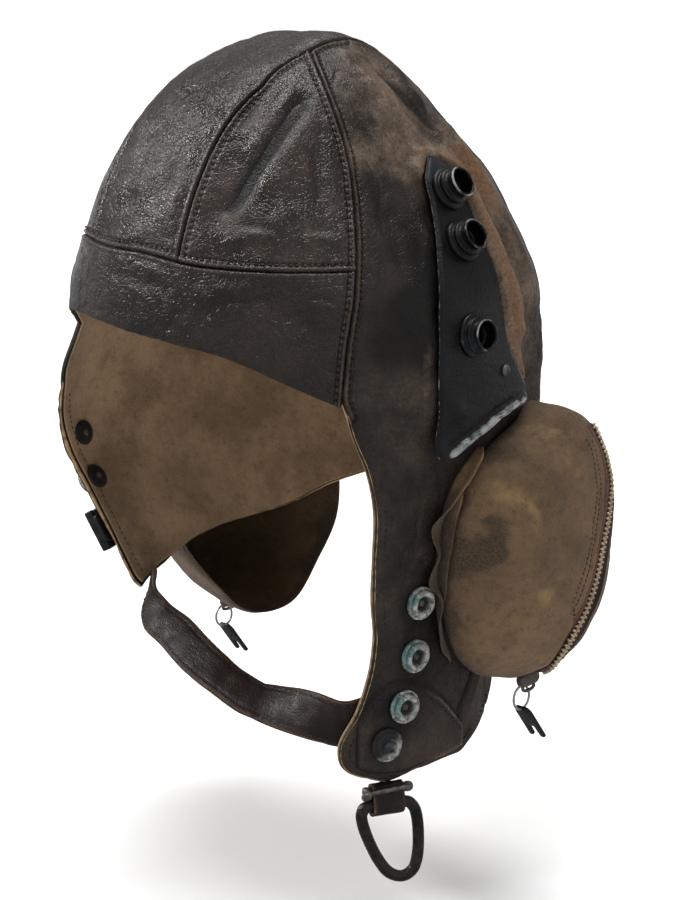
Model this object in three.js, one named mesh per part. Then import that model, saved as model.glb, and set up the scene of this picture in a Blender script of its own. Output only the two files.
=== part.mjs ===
// A leather flying helmet: crown of sewn panels, brow band, long side panels with cheek flaps,
// zipped ear pockets, a black socket plate, press studs, chin strap and a hanging buckle.
// Millimetres, +Z up. The face looks along -Y and the wearer's left side is +X.
// The origin is the lining's highest point, where the helmet sits on the head.
import * as THREE from "three";

// Driving sizes of the head form, measured from its widest level
const crownRise = 106;
const halfWidth = 89;
const frontReach = 99;
const backReach = 107;
const squareness = 0.15;

// Leather, lining and the gaps between pieces
const leatherWall = 1.8;
const liningWall = 1.0;
const pieceGap = 0.35;
const seamGap = 0.6;
const stripHalf = 26;

// Ear pockets
const pocketWall = 1.8;
const pocketReach = 120.5;
const pocketHalfLength = 43;
const pocketHalfHeight = 58;
const pocketMiddleY = 36;
const pocketMiddleDrop = 100;
const pocketSeat = 1;
const seamFinSeat = 1.5;
const seamFinHeight = 4.5;
const seamFinWall = 1.6;
const zipWidth = 6;
const zipWall = 1.4;
const zipSeat = 1.45;
const zipProbe = 0.05;

// Plate with sockets on the wearer's left
const plateWall = 1.6;
const plateSeat = 1.25;
const socketRadius = 7.2;
const socketTubeRadius = 5.8;
const socketBore = 4.5;
const socketFloor = 1;
const socketSeat = 0.65;
const rivetRadius = 2;
const rivetHeight = 1.1;

// Press studs
const studRadius = 6.6;
const studHeight = 3;
const studBore = 3.2;
const studSeat = 0.4;
const studBackRadius = 5.4;
const studBackHeight = 1.4;
const studBackSeat = 1.8;

// Reinforcing patch at the end of the left cheek flap
const patchWall = 1.2;
const patchSeat = 0.5;

// Chin strap
const strapWidth = 18;
const strapWall = 2.2;
const strapSeat = 1;
const strapFarSeat = 3.1;
const strapSag = 12;
const strapBow = 28;

// Buckle: a bar under the flap, a leather tab round it and the wire loop that swings in the tab
const buckleWidth = 29;
const buckleHeight = 37;
const buckleWire = 4.8;
const barRadius = 1.3;
const barLength = 17;
const barBallRadius = 1.8;
const tabWidth = 13.5;
const tabWall = 1.5;
const tabClearance = 0.4;
const barToLoop = 6.2;
const barDrop = 3.7;
const barShift = 1;
const barTurn = 22;
const loopLean = 7.5;

// Zip sliders and pulls; the slider is seated under the pocket, at a section and a corner of it
const sliderLength = 12;
const sliderHeight = 4;
const sliderWall = 3.4;
const sliderSeat = 1.1;
const sliderPlace = { section: 1.35, corner: 12.2 };
const ringForward = 4.6;
const ringSlack = 0.3;
const pullRingRadius = 4.2;
const pullRingWire = 1;
const pullLength = 15;
const pullWidth = 7.5;
const pullWall = 1.6;
const pullLean = 38;

// Clip outside the right cheek flap
const clipLength = 19;
const clipWidth = 6;
const clipDepth = 4.5;
const clipSlot = 1.6;
const clipBaseWall = 1.2;
const clipBaseWidth = 10;
const clipBaseLength = 13;
const clipSeat = 1;
const clipPlace = { angle: 59, elev: -50.5 };

// Sides of the faceted round pieces
const socketSides = 14;
const studSides = 12;
const rivetSides = 10;
const barSides = 12;
const loopSides = 8;
const holeSides = 16;
const ringSides = 12;
const ringWireSides = 6;
const forkDepth = 0.7;

// Head form. elev: degrees above the widest level seen from its centre. The other columns are
// shares of frontReach, halfWidth (left and right) and backReach.
const headRows = [
  { elev: -68, front: 0.925, left: 0.925, right: 0.62, back: 0.8 },
  { elev: -60, front: 0.925, left: 0.935, right: 0.8, back: 0.83 },
  { elev: -50, front: 0.935, left: 0.96, right: 0.93, back: 0.87 },
  { elev: -40, front: 0.95, left: 0.99, right: 1.0, back: 0.93 },
  { elev: -30, front: 0.965, left: 1.02, right: 1.03, back: 0.985 },
  { elev: -15, front: 0.985, left: 1.032, right: 1.035, back: 1.0 },
  { elev: 0, front: 1.0, left: 1.0, right: 1.0, back: 1.0 },
  { elev: 15, front: 0.99, left: 0.92, right: 0.92, back: 0.94 },
  { elev: 30, front: 0.99, left: 0.872, right: 0.872, back: 0.92 },
  { elev: 45, front: 0.995, left: 0.885, right: 0.885, back: 0.868 },
  { elev: 60, front: 0.988, left: 0.942, right: 0.942, back: 0.89 },
  { elev: 75, front: 0.968, left: 1.005, right: 1.005, back: 0.937 },
  { elev: 90, front: 1.0, left: 1.0, right: 1.0, back: 1.0 },
];

// Where the leather swells away from the head. angle and elev in degrees, push as a share of
// halfWidth; the spreads are the degrees over which the swell fades.
const swells = [
  { angle: -58, elev: -32, spreadAngle: 30, spreadElev: 17, push: 0.22 },
];

// Folds and creases: ridges have a positive depth, valleys a negative one (share of halfWidth).
const folds = [
  { angleA: 113, elevA: 46, angleB: 113, elevB: -8, spread: 3, depth: 0.045 },
  { angleA: 118, elevA: 50, angleB: 121, elevB: -22, spread: 3.4, depth: -0.035 },
  { angleA: 127, elevA: 46, angleB: 129, elevB: -30, spread: 4, depth: 0.03 },
  { angleA: 100, elevA: 68, angleB: 104, elevB: 42, spread: 4, depth: -0.03 },
  { angleA: 31, elevA: 56, angleB: 24, elevB: 22, spread: 3.4, depth: -0.02 },
  { angleA: 42, elevA: 50, angleB: 40, elevB: 20, spread: 5, depth: 0.014 },
  { angleA: 36, elevA: 3, angleB: 46, elevB: -2, spread: 3, depth: -0.014 },
];

// Seam between crown and brow band: height of the seam at each angle, both in degrees.
const bandSeamRows = [
  { angle: -60, elev: 13 },
  { angle: -22, elev: 14.6 },
  { angle: -8, elev: 13.2 },
  { angle: 5, elev: 12.6 },
  { angle: 20, elev: 10.4 },
  { angle: 38, elev: 9.6 },
  { angle: 60, elev: 9.8 },
];

// Lower edge of the brow band
const browRimRows = [
  { angle: -60, elev: -12 },
  { angle: -45, elev: -6 },
  { angle: -20, elev: -3 },
  { angle: 0, elev: -5 },
  { angle: 14, elev: -6.8 },
  { angle: 29, elev: -10 },
  { angle: 41, elev: -15 },
  { angle: 54, elev: -20.5 },
  { angle: 60, elev: -23 },
];

// Seam between front gore and side panel
const goreSeamRows = [
  { elev: -24, angle: 54 },
  { elev: -8, angle: 55.5 },
  { elev: 5, angle: 58 },
  { elev: 20, angle: 60 },
  { elev: 45, angle: 60 },
  { elev: 60, angle: 55 },
  { elev: 70, angle: 51 },
];

// Free edges of the cheek flaps: front and rear edge at each elevation. The nape hem is the row
// where the rear edge leaves the centre strip.
const flapEdges = {
  left: [
    { elev: -20, front: 55.2, rear: 180 },
    { elev: -27, front: 57.4, rear: 180 },
    { elev: -34.6, front: 61.5, rear: 180 },
    { elev: -42, front: 64.1, rear: 180 },
    { elev: -48.5, front: 64.1, rear: 146 },
    { elev: -53.7, front: 64.2, rear: 134 },
    { elev: -57.3, front: 64.9, rear: 128 },
    { elev: -60, front: 63.4, rear: 123 },
    { elev: -62.2, front: 60, rear: 119 },
    { elev: -64, front: 55, rear: 115 },
    { elev: -65.4, front: 58, rear: 107 },
    { elev: -66.4, front: 68, rear: 98 },
  ],
  right: [
    { elev: -20, front: 56, rear: 180 },
    { elev: -27, front: 58, rear: 180 },
    { elev: -34.6, front: 60, rear: 180 },
    { elev: -42, front: 60, rear: 180 },
    { elev: -48.5, front: 58, rear: 144 },
    { elev: -53.7, front: 57, rear: 126 },
    { elev: -57.3, front: 57, rear: 104 },
    { elev: -59.5, front: 57, rear: 88 },
    { elev: -61, front: 58, rear: 73 },
  ],
};
const napeHem = { elev: -42 };

// Rows of the side panels above the flaps, and the columns of every side panel (shares)
const sideElevs = [74, 68.5, 63, 55, 46, 37, 28, 19, 10, 1, -7, -14];
const sideColumns = [0, 0.06, 0.12, 0.19, 0.27, 0.36, 0.44, 0.5, 0.55, 0.61, 0.69, 0.79, 0.9, 1];
const goreColumns = [0, 0.25, 0.5, 0.75, 1];
const goreEnds = { topElev: 68.5, footElev: 12 };
const stripColumns = [-1, -0.5, 0, 0.5, 1];
const stripRowCount = 22;
const bandColumnCount = 14;
const bandRowShares = [0, 0.5, 1];

// Black plate: its edges at each elevation, how far its lip turns out (share of plateWall), and
// how far the row follows the pocket's top (share), whose elevation was plateTie.elev when the
// rows were taken.
const plateTie = { elev: -26.77, topShare: 0.95 };
const plateRows = [
  { elev: 41, front: 96, rear: 105, lift: 0, follow: 0 },
  { elev: 36, front: 91.5, rear: 108, lift: 0, follow: 0 },
  { elev: 28, front: 89.5, rear: 108, lift: 0, follow: 0 },
  { elev: 18, front: 86.5, rear: 107, lift: 0, follow: 0 },
  { elev: 8, front: 83, rear: 106, lift: 0, follow: 0 },
  { elev: -2, front: 80.5, rear: 105, lift: 0, follow: 0 },
  { elev: -11, front: 79.7, rear: 106, lift: 0, follow: 0 },
  { elev: -18, front: 79, rear: 111, lift: 0.3, follow: 0.5 },
  { elev: -24, front: 79, rear: 112, lift: 0.8, follow: 1 },
  { elev: -26.5, front: 78.4, rear: 101.5, lift: 1.1, follow: 1 },
  { elev: -29.5, front: 77.8, rear: 92, lift: 1.5, follow: 1 },
  { elev: -32.8, front: 78.8, rear: 81.5, lift: 2.2, follow: 1 },
];
const plateColumns = [0, 0.33, 0.67, 1];
const sockets = [
  { name: "plate_socket_top", angle: 99, elev: 31, height: 8 },
  { name: "plate_socket_middle", angle: 95.8, elev: 15.6, height: 7.2 },
  { name: "plate_socket_low", angle: 91.2, elev: -7.9, height: 6.2 },
];
const plateRivet = { angle: 103, elev: -17, follow: 0.43 };

// Press studs and their backs. on: what each lies on.
const studs = [
  { name: "press_stud_1", side: 1, angle: 78.4, elev: -54.6, on: "flap" },
  { name: "press_stud_2", side: 1, angle: 77.1, elev: -59.3, on: "flap" },
  { name: "press_stud_3", side: 1, angle: 73, elev: -62.5, on: "patch" },
  { name: "press_stud_4", side: 1, angle: 67.5, elev: -64.4, on: "patch" },
  { name: "far_stud_1", side: -1, angle: 66, elev: -33, on: "flap" },
  { name: "far_stud_2", side: -1, angle: 64, elev: -42, on: "flap" },
];
const patchRows = [
  { angle: 59.5, top: -63.4, hem: -65.2 },
  { angle: 65.5, top: -61.2, hem: -65.8 },
  { angle: 74, top: -61.1, hem: -66.2 },
  { angle: 81, top: -62, hem: -66.2 },
  { angle: 87, top: -63, hem: -66.2 },
  { angle: 93, top: -64.2, hem: -66.1 },
  { angle: 97, top: -65, hem: -66 },
];
const patchRowShares = [0, 0.5, 1];

// Ear pocket outline seen from the side, as shares of its half length and half height, from the
// rear end upwards and round.
const pocketOutline = [
  { along: 0.96, up: 0.12 },
  { along: 0.88, up: 0.5 },
  { along: 0.64, up: 0.82 },
  { along: 0.3, up: 0.95 },
  { along: -0.02, up: 0.86 },
  { along: -0.45, up: 0.74 },
  { along: -0.8, up: 0.56 },
  { along: -0.98, up: 0.28 },
  { along: -1.02, up: -0.08 },
  { along: -0.97, up: -0.45 },
  { along: -0.78, up: -0.78 },
  { along: -0.46, up: -0.98 },
  { along: -0.12, up: -1.03 },
  { along: 0.24, up: -0.95 },
  { along: 0.6, up: -0.7 },
  { along: 0.86, up: -0.32 },
];
// Sections of the pocket from its foot to its top: rise as a share of its reach, and the outline's
// size at the front and at the rear.
const pocketSections = [
  { rise: 0, front: 1.0, rear: 1.0 },
  { rise: 0.34, front: 0.92, rear: 1.0 },
  { rise: 0.66, front: 0.78, rear: 0.95 },
  { rise: 0.86, front: 0.6, rear: 0.83 },
  { rise: 0.97, front: 0.36, rear: 0.62 },
];
const pocketRearShare = 1.3;
const pocketTopShift = 0.18;
// Way of the zip over the pocket: corner of the outline and section, counted from the rear end
// and from the foot
const zipRows = [
  { corner: 12.5, section: 2.8 },
  { corner: 13, section: 3.2 },
  { corner: 14, section: 3.4 },
  { corner: 15, section: 3.5 },
  { corner: 16, section: 3.5 },
  { corner: 17, section: 3.5 },
  { corner: 18, section: 3.45 },
  { corner: 19, section: 3.3 },
];
const finFirst = 6;
const finLast = 11;

// Chin strap: place between its two ends (share), sag and forward bow (shares of strapSag and
// strapBow), width (share of strapWidth) and turn of its flat side in degrees.
const strapRows = [
  { at: 0.0, sag: 0, bow: 0, width: 1, turn: 0 },
  { at: 0.03, sag: 0.08, bow: 0.2, width: 1, turn: 0 },
  { at: 0.075, sag: 0.13, bow: 0.3, width: 1, turn: 8 },
  { at: 0.14, sag: 0.28, bow: 0.36, width: 1, turn: 24 },
  { at: 0.235, sag: 0.59, bow: 0.4, width: 0.98, turn: 40 },
  { at: 0.31, sag: 0.82, bow: 0.44, width: 0.95, turn: 52 },
  { at: 0.37, sag: 0.94, bow: 0.52, width: 0.92, turn: 60 },
  { at: 0.47, sag: 0.96, bow: 0.57, width: 0.9, turn: 64 },
  { at: 0.56, sag: 0.96, bow: 0.58, width: 0.9, turn: 60 },
  { at: 0.68, sag: 1.04, bow: 0.49, width: 0.9, turn: 56 },
  { at: 0.8, sag: 1.1, bow: 0.37, width: 0.88, turn: 54 },
  { at: 0.9, sag: 1.1, bow: 0.34, width: 0.8, turn: 46 },
  { at: 0.965, sag: 0.86, bow: 0.22, width: 0.66, turn: 34 },
  { at: 1.0, sag: 0, bow: 0, width: 0.42, turn: 10 },
];
const strapHiddenAngles = [92, 84, 76, 68];
const strapNear = { angle: 60, elev: -63 };
const strapFar = { angle: -63, elev: -60.5 };

// Buckle outline seen flat: share of the half width and of the height below its top bar
const buckleOutline = [
  { across: 0.62, down: 0 },
  { across: 0.93, down: 0.07 },
  { across: 1.0, down: 0.22 },
  { across: 0.92, down: 0.46 },
  { across: 0.74, down: 0.72 },
  { across: 0.46, down: 0.92 },
  { across: 0, down: 1 },
];
const bucklePlace = { angle: 68 };

const paint = (color, roughness, metalness = 0) =>
  new THREE.MeshStandardMaterial({ color, roughness, metalness });
const finishes = {
  crownLeather: paint(0x2b211c, 0.45),
  sideLeather: paint(0x3a2c20, 0.6),
  lining: paint(0x96784f, 0.9),
  suede: paint(0x6e5841, 0.9),
  strapLeather: paint(0x2e1e17, 0.6),
  blackPlate: paint(0x17171a, 0.3),
  oldSteel: paint(0x8c8f8c, 0.5, 0.8),
  bronze: paint(0x3a342c, 0.45, 0.8),
  brass: paint(0xb49a72, 0.45, 0.8),
  blackPlastic: paint(0x1c1c1e, 0.4),
};

const helmet = new THREE.Group();
const radians = THREE.MathUtils.degToRad;
const mix = THREE.MathUtils.lerp;

function addPiece(name, geometry, finish) {
  const mesh = new THREE.Mesh(geometry, finish);
  mesh.name = name;
  helmet.add(mesh);
  return mesh;
}

// Smooth curve through a table: a Hermite curve whose slope at each row is the weighted mean of
// the slopes on both sides.
function tableValue(rows, key, column, at) {
  const last = rows.length - 1;
  const x = Math.min(Math.max(at, rows[0][key]), rows[last][key]);
  let i = 0;
  while (i < last - 1 && x >= rows[i + 1][key]) i++;
  const step = (k) => rows[k + 1][key] - rows[k][key];
  const slope = (k) => (rows[k + 1][column] - rows[k][column]) / step(k);
  const tangent = (k) => {
    if (k === 0) return slope(0);
    if (k === last) return slope(last - 1);
    return (slope(k) * step(k - 1) + slope(k - 1) * step(k)) / (step(k) + step(k - 1));
  };
  const h = step(i);
  const t = (x - rows[i][key]) / h;
  return rows[i][column] * (1 + 2 * t) * (1 - t) ** 2
    + tangent(i) * h * t * (1 - t) ** 2
    + rows[i + 1][column] * t * t * (3 - 2 * t)
    + tangent(i + 1) * h * t * t * (t - 1);
}

// Distance of a place on the head form from a fold's line, in degrees, with a fade past its ends
function foldPush(fold, angle, elev) {
  const narrow = Math.max(Math.cos(radians(elev)), 0.3);
  const ax = (fold.angleB - fold.angleA) * narrow;
  const ay = fold.elevB - fold.elevA;
  const px = (angle - fold.angleA) * narrow;
  const py = elev - fold.elevA;
  const t = (px * ax + py * ay) / (ax * ax + ay * ay);
  const inside = Math.min(Math.max(t, 0), 1);
  const away = Math.hypot(px - inside * ax, py - inside * ay);
  return fold.depth * halfWidth * Math.exp(-((away / fold.spread) ** 2));
}

// Distance from the centre of the widest level to the leather's outer face
function headRadius(angle, elev) {
  const s = Math.sin(radians(angle));
  const c = Math.cos(radians(angle));
  const e = radians(elev);
  const base = (reach) => (elev >= 0
    ? 1 / Math.hypot(Math.cos(e) / reach, Math.sin(e) / crownRise)
    : reach / Math.cos(e));
  const side = base(halfWidth) * tableValue(headRows, "elev", s >= 0 ? "left" : "right", elev);
  const along = c >= 0
    ? base(frontReach) * tableValue(headRows, "elev", "front", elev)
    : base(backReach) * tableValue(headRows, "elev", "back", elev);
  const power = 2 + squareness * Math.cos(e);
  let r = ((Math.abs(s) / side) ** power + (Math.abs(c) / along) ** power) ** (-1 / power);
  for (const swell of swells) {
    const turn = ((angle - swell.angle + 540) % 360) - 180;
    const fade = (turn / swell.spreadAngle) ** 2 + ((elev - swell.elev) / swell.spreadElev) ** 2;
    r += swell.push * halfWidth * Math.exp(-fade);
  }
  for (const fold of folds) r += foldPush(fold, angle, elev);
  return r;
}

function facePoint(angle, elev) {
  const r = headRadius(angle, elev);
  const flat = r * Math.cos(radians(elev));
  return new THREE.Vector3(
    flat * Math.sin(radians(angle)), -flat * Math.cos(radians(angle)), r * Math.sin(radians(elev)));
}

function faceNormal(angle, elev) {
  const h = 1;
  const e = Math.min(elev, 88.5);
  const across = facePoint(angle + h, e).sub(facePoint(angle - h, e));
  const up = facePoint(angle, e + h).sub(facePoint(angle, e - h));
  return across.cross(up).normalize();
}

// A point on the leather's outer face, or offset outwards from it
function skin(angle, elev, offset = 0) {
  return facePoint(angle, elev).addScaledVector(faceNormal(angle, elev), offset);
}

function bisect(low, high, test) {
  let a = low;
  let b = high;
  for (let k = 0; k < 40; k++) {
    const middle = (a + b) / 2;
    if (test(middle)) a = middle;
    else b = middle;
  }
  return (a + b) / 2;
}

// Angle at which the centre strip's edge runs, at an elevation, in front of or behind the crown
function stripEdgeAngle(elev, side, behind, edge) {
  const reach = (angle) => Math.abs(facePoint(side * angle, elev).x);
  if (behind) return bisect(90, 180, (angle) => reach(angle) > edge);
  return bisect(0, 90, (angle) => reach(angle) < edge);
}

// A closed shell from an outer and an inner grid of points with the same rows and columns
function shell(outer, inner) {
  const rowCount = outer.length;
  const columnCount = outer[0].length;
  const points = [...outer.flat(), ...inner.flat()];
  const half = rowCount * columnCount;
  const index = [];
  const quad = (a, b, c, d) => index.push(a, b, c, a, c, d);
  const at = (r, c) => r * columnCount + c;
  for (let r = 0; r < rowCount - 1; r++) {
    for (let c = 0; c < columnCount - 1; c++) {
      quad(at(r, c), at(r + 1, c), at(r + 1, c + 1), at(r, c + 1));
      quad(half + at(r, c), half + at(r, c + 1), half + at(r + 1, c + 1), half + at(r + 1, c));
    }
  }
  const rim = (a, b) => quad(a, b, half + b, half + a);
  for (let c = 0; c < columnCount - 1; c++) {
    rim(at(0, c), at(0, c + 1));
    rim(at(rowCount - 1, c + 1), at(rowCount - 1, c));
  }
  for (let r = 0; r < rowCount - 1; r++) {
    rim(at(r + 1, 0), at(r, 0));
    rim(at(r, columnCount - 1), at(r + 1, columnCount - 1));
  }
  return solid(points, index);
}

// Geometry from points and triangles, turned so that its faces point out
function solid(points, index) {
  const place = (i) => points[index[i]];
  let volume = 0;
  for (let i = 0; i < index.length; i += 3) {
    volume += place(i).dot(new THREE.Vector3().crossVectors(place(i + 1), place(i + 2)));
  }
  const faces = volume > 0 ? index : index.slice().reverse();
  const geometry = new THREE.BufferGeometry();
  geometry.setFromPoints(points);
  geometry.setIndex(faces);
  return geometry;
}

// A leather panel and the lining behind it, from one grid of places {angle, elev}
function linedPanel(name, liningName, finish, places) {
  const layer = (offset) => places.map((row) => row.map((p) => skin(p.angle, p.elev, offset)));
  addPiece(name, shell(layer(0), layer(-leatherWall)), finish);
  const liningFace = -leatherWall - pieceGap;
  addPiece(liningName, shell(layer(liningFace), layer(liningFace - liningWall)), finishes.lining);
}

const trimAngle = (angle, elev) =>
  THREE.MathUtils.radToDeg(seamGap / 2 / (headRadius(angle, elev) * Math.cos(radians(elev))));

function goreSeamAngle(elev) {
  return tableValue(goreSeamRows, "elev", "angle", elev);
}

// Centre strip: columns at constant distance from the middle plane, rows rolling over the crown
function stripPlace(x, roll) {
  const direction = (reach) => {
    const y = -reach * Math.cos(radians(roll));
    const z = reach * Math.sin(radians(roll));
    const angle = THREE.MathUtils.radToDeg(Math.atan2(x, -y));
    const elev = THREE.MathUtils.radToDeg(Math.atan2(z, Math.hypot(x, y)));
    return { angle, elev, length: Math.hypot(x, y, z) };
  };
  const reach = bisect(0, 3 * halfWidth, (trial) => {
    const d = direction(trial);
    return d.length < headRadius(d.angle, d.elev);
  });
  return direction(reach);
}

function buildStrip() {
  const edge = stripHalf - seamGap / 2;
  const seamTrim = THREE.MathUtils.radToDeg(seamGap / 2 / frontReach);
  const places = [];
  for (let r = 0; r <= stripRowCount; r++) {
    places.push(stripColumns.map((share) => {
      const x = share * edge;
      const seamAngle = THREE.MathUtils.radToDeg(Math.asin(x / frontReach));
      const seamElev = tableValue(bandSeamRows, "angle", "elev", seamAngle) + seamTrim;
      const rise = Math.tan(radians(seamElev)) / Math.cos(radians(seamAngle));
      const first = THREE.MathUtils.radToDeg(Math.atan(rise));
      return stripPlace(x, mix(first, 180 - napeHem.elev, r / stripRowCount));
    }));
  }
  linedPanel("crown_strip", "strip_lining", finishes.crownLeather, places);
}

function buildGore(side, word) {
  const seamTrim = THREE.MathUtils.radToDeg(seamGap / 2 / frontReach);
  const corner = tableValue(bandSeamRows, "angle", "elev", side * goreSeamAngle(goreEnds.footElev));
  const foot = corner + seamTrim;
  const shares = sideElevs.filter((elev) => elev > goreEnds.footElev && elev <= goreEnds.topElev)
    .map((elev) => (elev - foot) / (goreEnds.topElev - foot));
  const places = [...shares, 0].map((share) => goreColumns.map((column) => {
    let elev = mix(goreEnds.footElev, goreEnds.topElev, share);
    let angle = 0;
    for (let pass = 0; pass < 4; pass++) {
      const first = stripEdgeAngle(elev, side, false, stripHalf + seamGap / 2);
      const last = goreSeamAngle(elev) - trimAngle(side * goreSeamAngle(elev), elev);
      angle = side * mix(first, last, column);
      const seam = tableValue(bandSeamRows, "angle", "elev", angle) + seamTrim;
      elev = mix(seam, goreEnds.topElev, share);
    }
    return { angle, elev };
  }));
  linedPanel(`front_gore_${word}`, `gore_lining_${word}`, finishes.crownLeather, places);
}

function buildBrowBand() {
  const seamTrim = THREE.MathUtils.radToDeg(seamGap / 2 / frontReach);
  const places = bandRowShares.map((share) => {
    const row = [];
    for (let c = 0; c <= bandColumnCount; c++) {
      const column = mix(-1, 1, c / bandColumnCount);
      let angle = column * goreSeamAngle(0);
      let elev = 0;
      for (let pass = 0; pass < 4; pass++) {
        const seam = tableValue(bandSeamRows, "angle", "elev", angle) - seamTrim;
        const rim = tableValue(browRimRows, "angle", "elev", angle);
        elev = mix(rim, seam, share);
        const side = Math.sign(column) || 1;
        angle = column * (goreSeamAngle(elev) - trimAngle(side * goreSeamAngle(elev), elev));
      }
      row.push({ angle, elev });
    }
    return row;
  });
  linedPanel("brow_band", "band_lining", finishes.crownLeather, places);
}

function buildSidePanel(side, word) {
  const edges = flapEdges[word];
  const elevs = [...sideElevs, ...edges.map((row) => row.elev)];
  const places = elevs.map((elev) => {
    const onFlap = elev <= edges[0].elev;
    const strip = stripHalf + seamGap / 2;
    let first = goreSeamAngle(elev) + trimAngle(side * goreSeamAngle(elev), elev);
    if (elev > goreEnds.topElev) first = stripEdgeAngle(elev, side, false, strip);
    if (onFlap) first = edges.find((row) => row.elev === elev).front;
    let last = stripEdgeAngle(elev, side, true, strip);
    if (elev < napeHem.elev) last = edges.find((row) => row.elev === elev).rear;
    return sideColumns.map((share) => ({ angle: side * mix(first, last, share), elev }));
  });
  linedPanel(`side_panel_${word}`, `side_lining_${word}`, finishes.sideLeather, places);
}

// Place on the head form with a given y and z on one side, as {angle, elev}
function placeAtSide(side, y, z) {
  const polar = (x) => ({
    angle: THREE.MathUtils.radToDeg(Math.atan2(side * x, -y)),
    elev: THREE.MathUtils.radToDeg(Math.atan2(z, Math.hypot(x, y))),
    length: Math.hypot(x, y, z),
  });
  const x = bisect(0, 2 * halfWidth, (trial) => {
    const p = polar(trial);
    return p.length < headRadius(p.angle, p.elev);
  });
  return polar(x);
}

// Grid of the pocket's outer face: one row of points for each section, the foot on the leather
function pocketGrid(side, inset) {
  const shrink = 1 - inset / pocketHalfLength;
  return pocketSections.map((section) => pocketOutline.map((corner) => {
    const rearShare = Math.min((1 + corner.along) / pocketRearShare, 1);
    const size = mix(section.front, section.rear, rearShare) * shrink;
    const footY = pocketMiddleY + corner.along * pocketHalfLength * shrink;
    const footZ = -pocketMiddleDrop + corner.up * pocketHalfHeight * shrink;
    const place = placeAtSide(side, footY, footZ);
    const foot = skin(place.angle, place.elev, pocketSeat);
    if (section.rise === 0) return foot;
    const y = pocketMiddleY + corner.along * pocketHalfLength * size;
    const z = -pocketMiddleDrop + corner.up * pocketHalfHeight * size;
    const x = mix(Math.abs(foot.x), pocketReach - inset, section.rise);
    return new THREE.Vector3(side * x, y, z);
  }));
}

function pocketTop(side, inset) {
  const shift = pocketTopShift * pocketHalfLength;
  return new THREE.Vector3(side * (pocketReach - inset), pocketMiddleY + shift, -pocketMiddleDrop);
}

// The pocket is a cup, open towards the head
function buildPocket(side, word) {
  const outer = pocketGrid(side, 0);
  const inner = pocketGrid(side, pocketWall);
  const turns = pocketOutline.length;
  const points = [...outer.flat(), ...inner.flat(), pocketTop(side, 0), pocketTop(side, pocketWall)];
  const half = outer.length * turns;
  const index = [];
  const at = (r, c) => r * turns + (c % turns);
  for (let c = 0; c < turns; c++) {
    for (let r = 0; r < outer.length - 1; r++) {
      const [a, b, d, e] = [at(r, c), at(r, c + 1), at(r + 1, c + 1), at(r + 1, c)];
      index.push(a, b, d, a, d, e);
      index.push(half + a, half + d, half + b, half + a, half + e, half + d);
    }
    const rim = outer.length - 1;
    index.push(at(rim, c), at(rim, c + 1), 2 * half);
    index.push(half + at(rim, c + 1), half + at(rim, c), 2 * half + 1);
    index.push(at(0, c + 1), at(0, c), half + at(0, c));
    index.push(at(0, c + 1), half + at(0, c), half + at(0, c + 1));
  }
  addPiece(`ear_pocket_${word}`, solid(points, index), finishes.suede);
  return outer;
}

// Outward direction of a pocket grid at one of its points
function gridNormal(grid, r, c, side) {
  const turns = grid[0].length;
  const around = grid[r][(c + 1) % turns].clone().sub(grid[r][(c + turns - 1) % turns]);
  const up = grid[Math.min(r + 1, grid.length - 1)][c].clone().sub(grid[Math.max(r - 1, 0)][c]);
  const normal = around.cross(up).normalize();
  const middle = new THREE.Vector3(0, pocketMiddleY, -pocketMiddleDrop);
  const outward = grid[r][c].clone().sub(middle.setX(side * halfWidth));
  return normal.dot(outward) < 0 ? normal.negate() : normal;
}

// Point of a pocket grid between its sections and corners
function gridPoint(grid, section, corner) {
  const turns = grid[0].length;
  const r = Math.floor(section);
  const c = Math.floor(corner);
  const at = (row, k) => grid[row][k % turns];
  const below = at(r, c).clone().lerp(at(r, c + 1), corner - c);
  const above = at(r + 1, c).clone().lerp(at(r + 1, c + 1), corner - c);
  return below.lerp(above, section - r);
}

// Mean of the outward directions at the four grid points round a place
function gridPlaceNormal(grid, section, corner, side) {
  const normal = new THREE.Vector3();
  for (const r of [Math.floor(section), Math.floor(section) + 1]) {
    for (const c of [Math.floor(corner), Math.ceil(corner)]) {
      normal.add(gridNormal(grid, r, c % grid[0].length, side));
    }
  }
  return normal.normalize();
}

// Zip band over the pocket
function buildZip(side, word, grid) {
  const outer = [];
  const inner = [];
  for (const row of zipRows) {
    const middle = gridPoint(grid, row.section, row.corner);
    const across = gridPoint(grid, row.section + zipProbe, row.corner)
      .sub(gridPoint(grid, row.section - zipProbe, row.corner)).normalize();
    const normal = gridPlaceNormal(grid, row.section, row.corner, side);
    normal.addScaledVector(across, -normal.dot(across)).normalize();
    const corner = (width, lift) =>
      middle.clone().addScaledVector(across, width).addScaledVector(normal, lift);
    outer.push([
      corner(-zipWidth / 2, zipSeat + zipWall), corner(zipWidth / 2, zipSeat + zipWall)]);
    inner.push([corner(-zipWidth / 2, zipSeat), corner(zipWidth / 2, zipSeat)]);
  }
  addPiece(`zip_${word}`, shell(outer, inner), finishes.brass);
}

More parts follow.
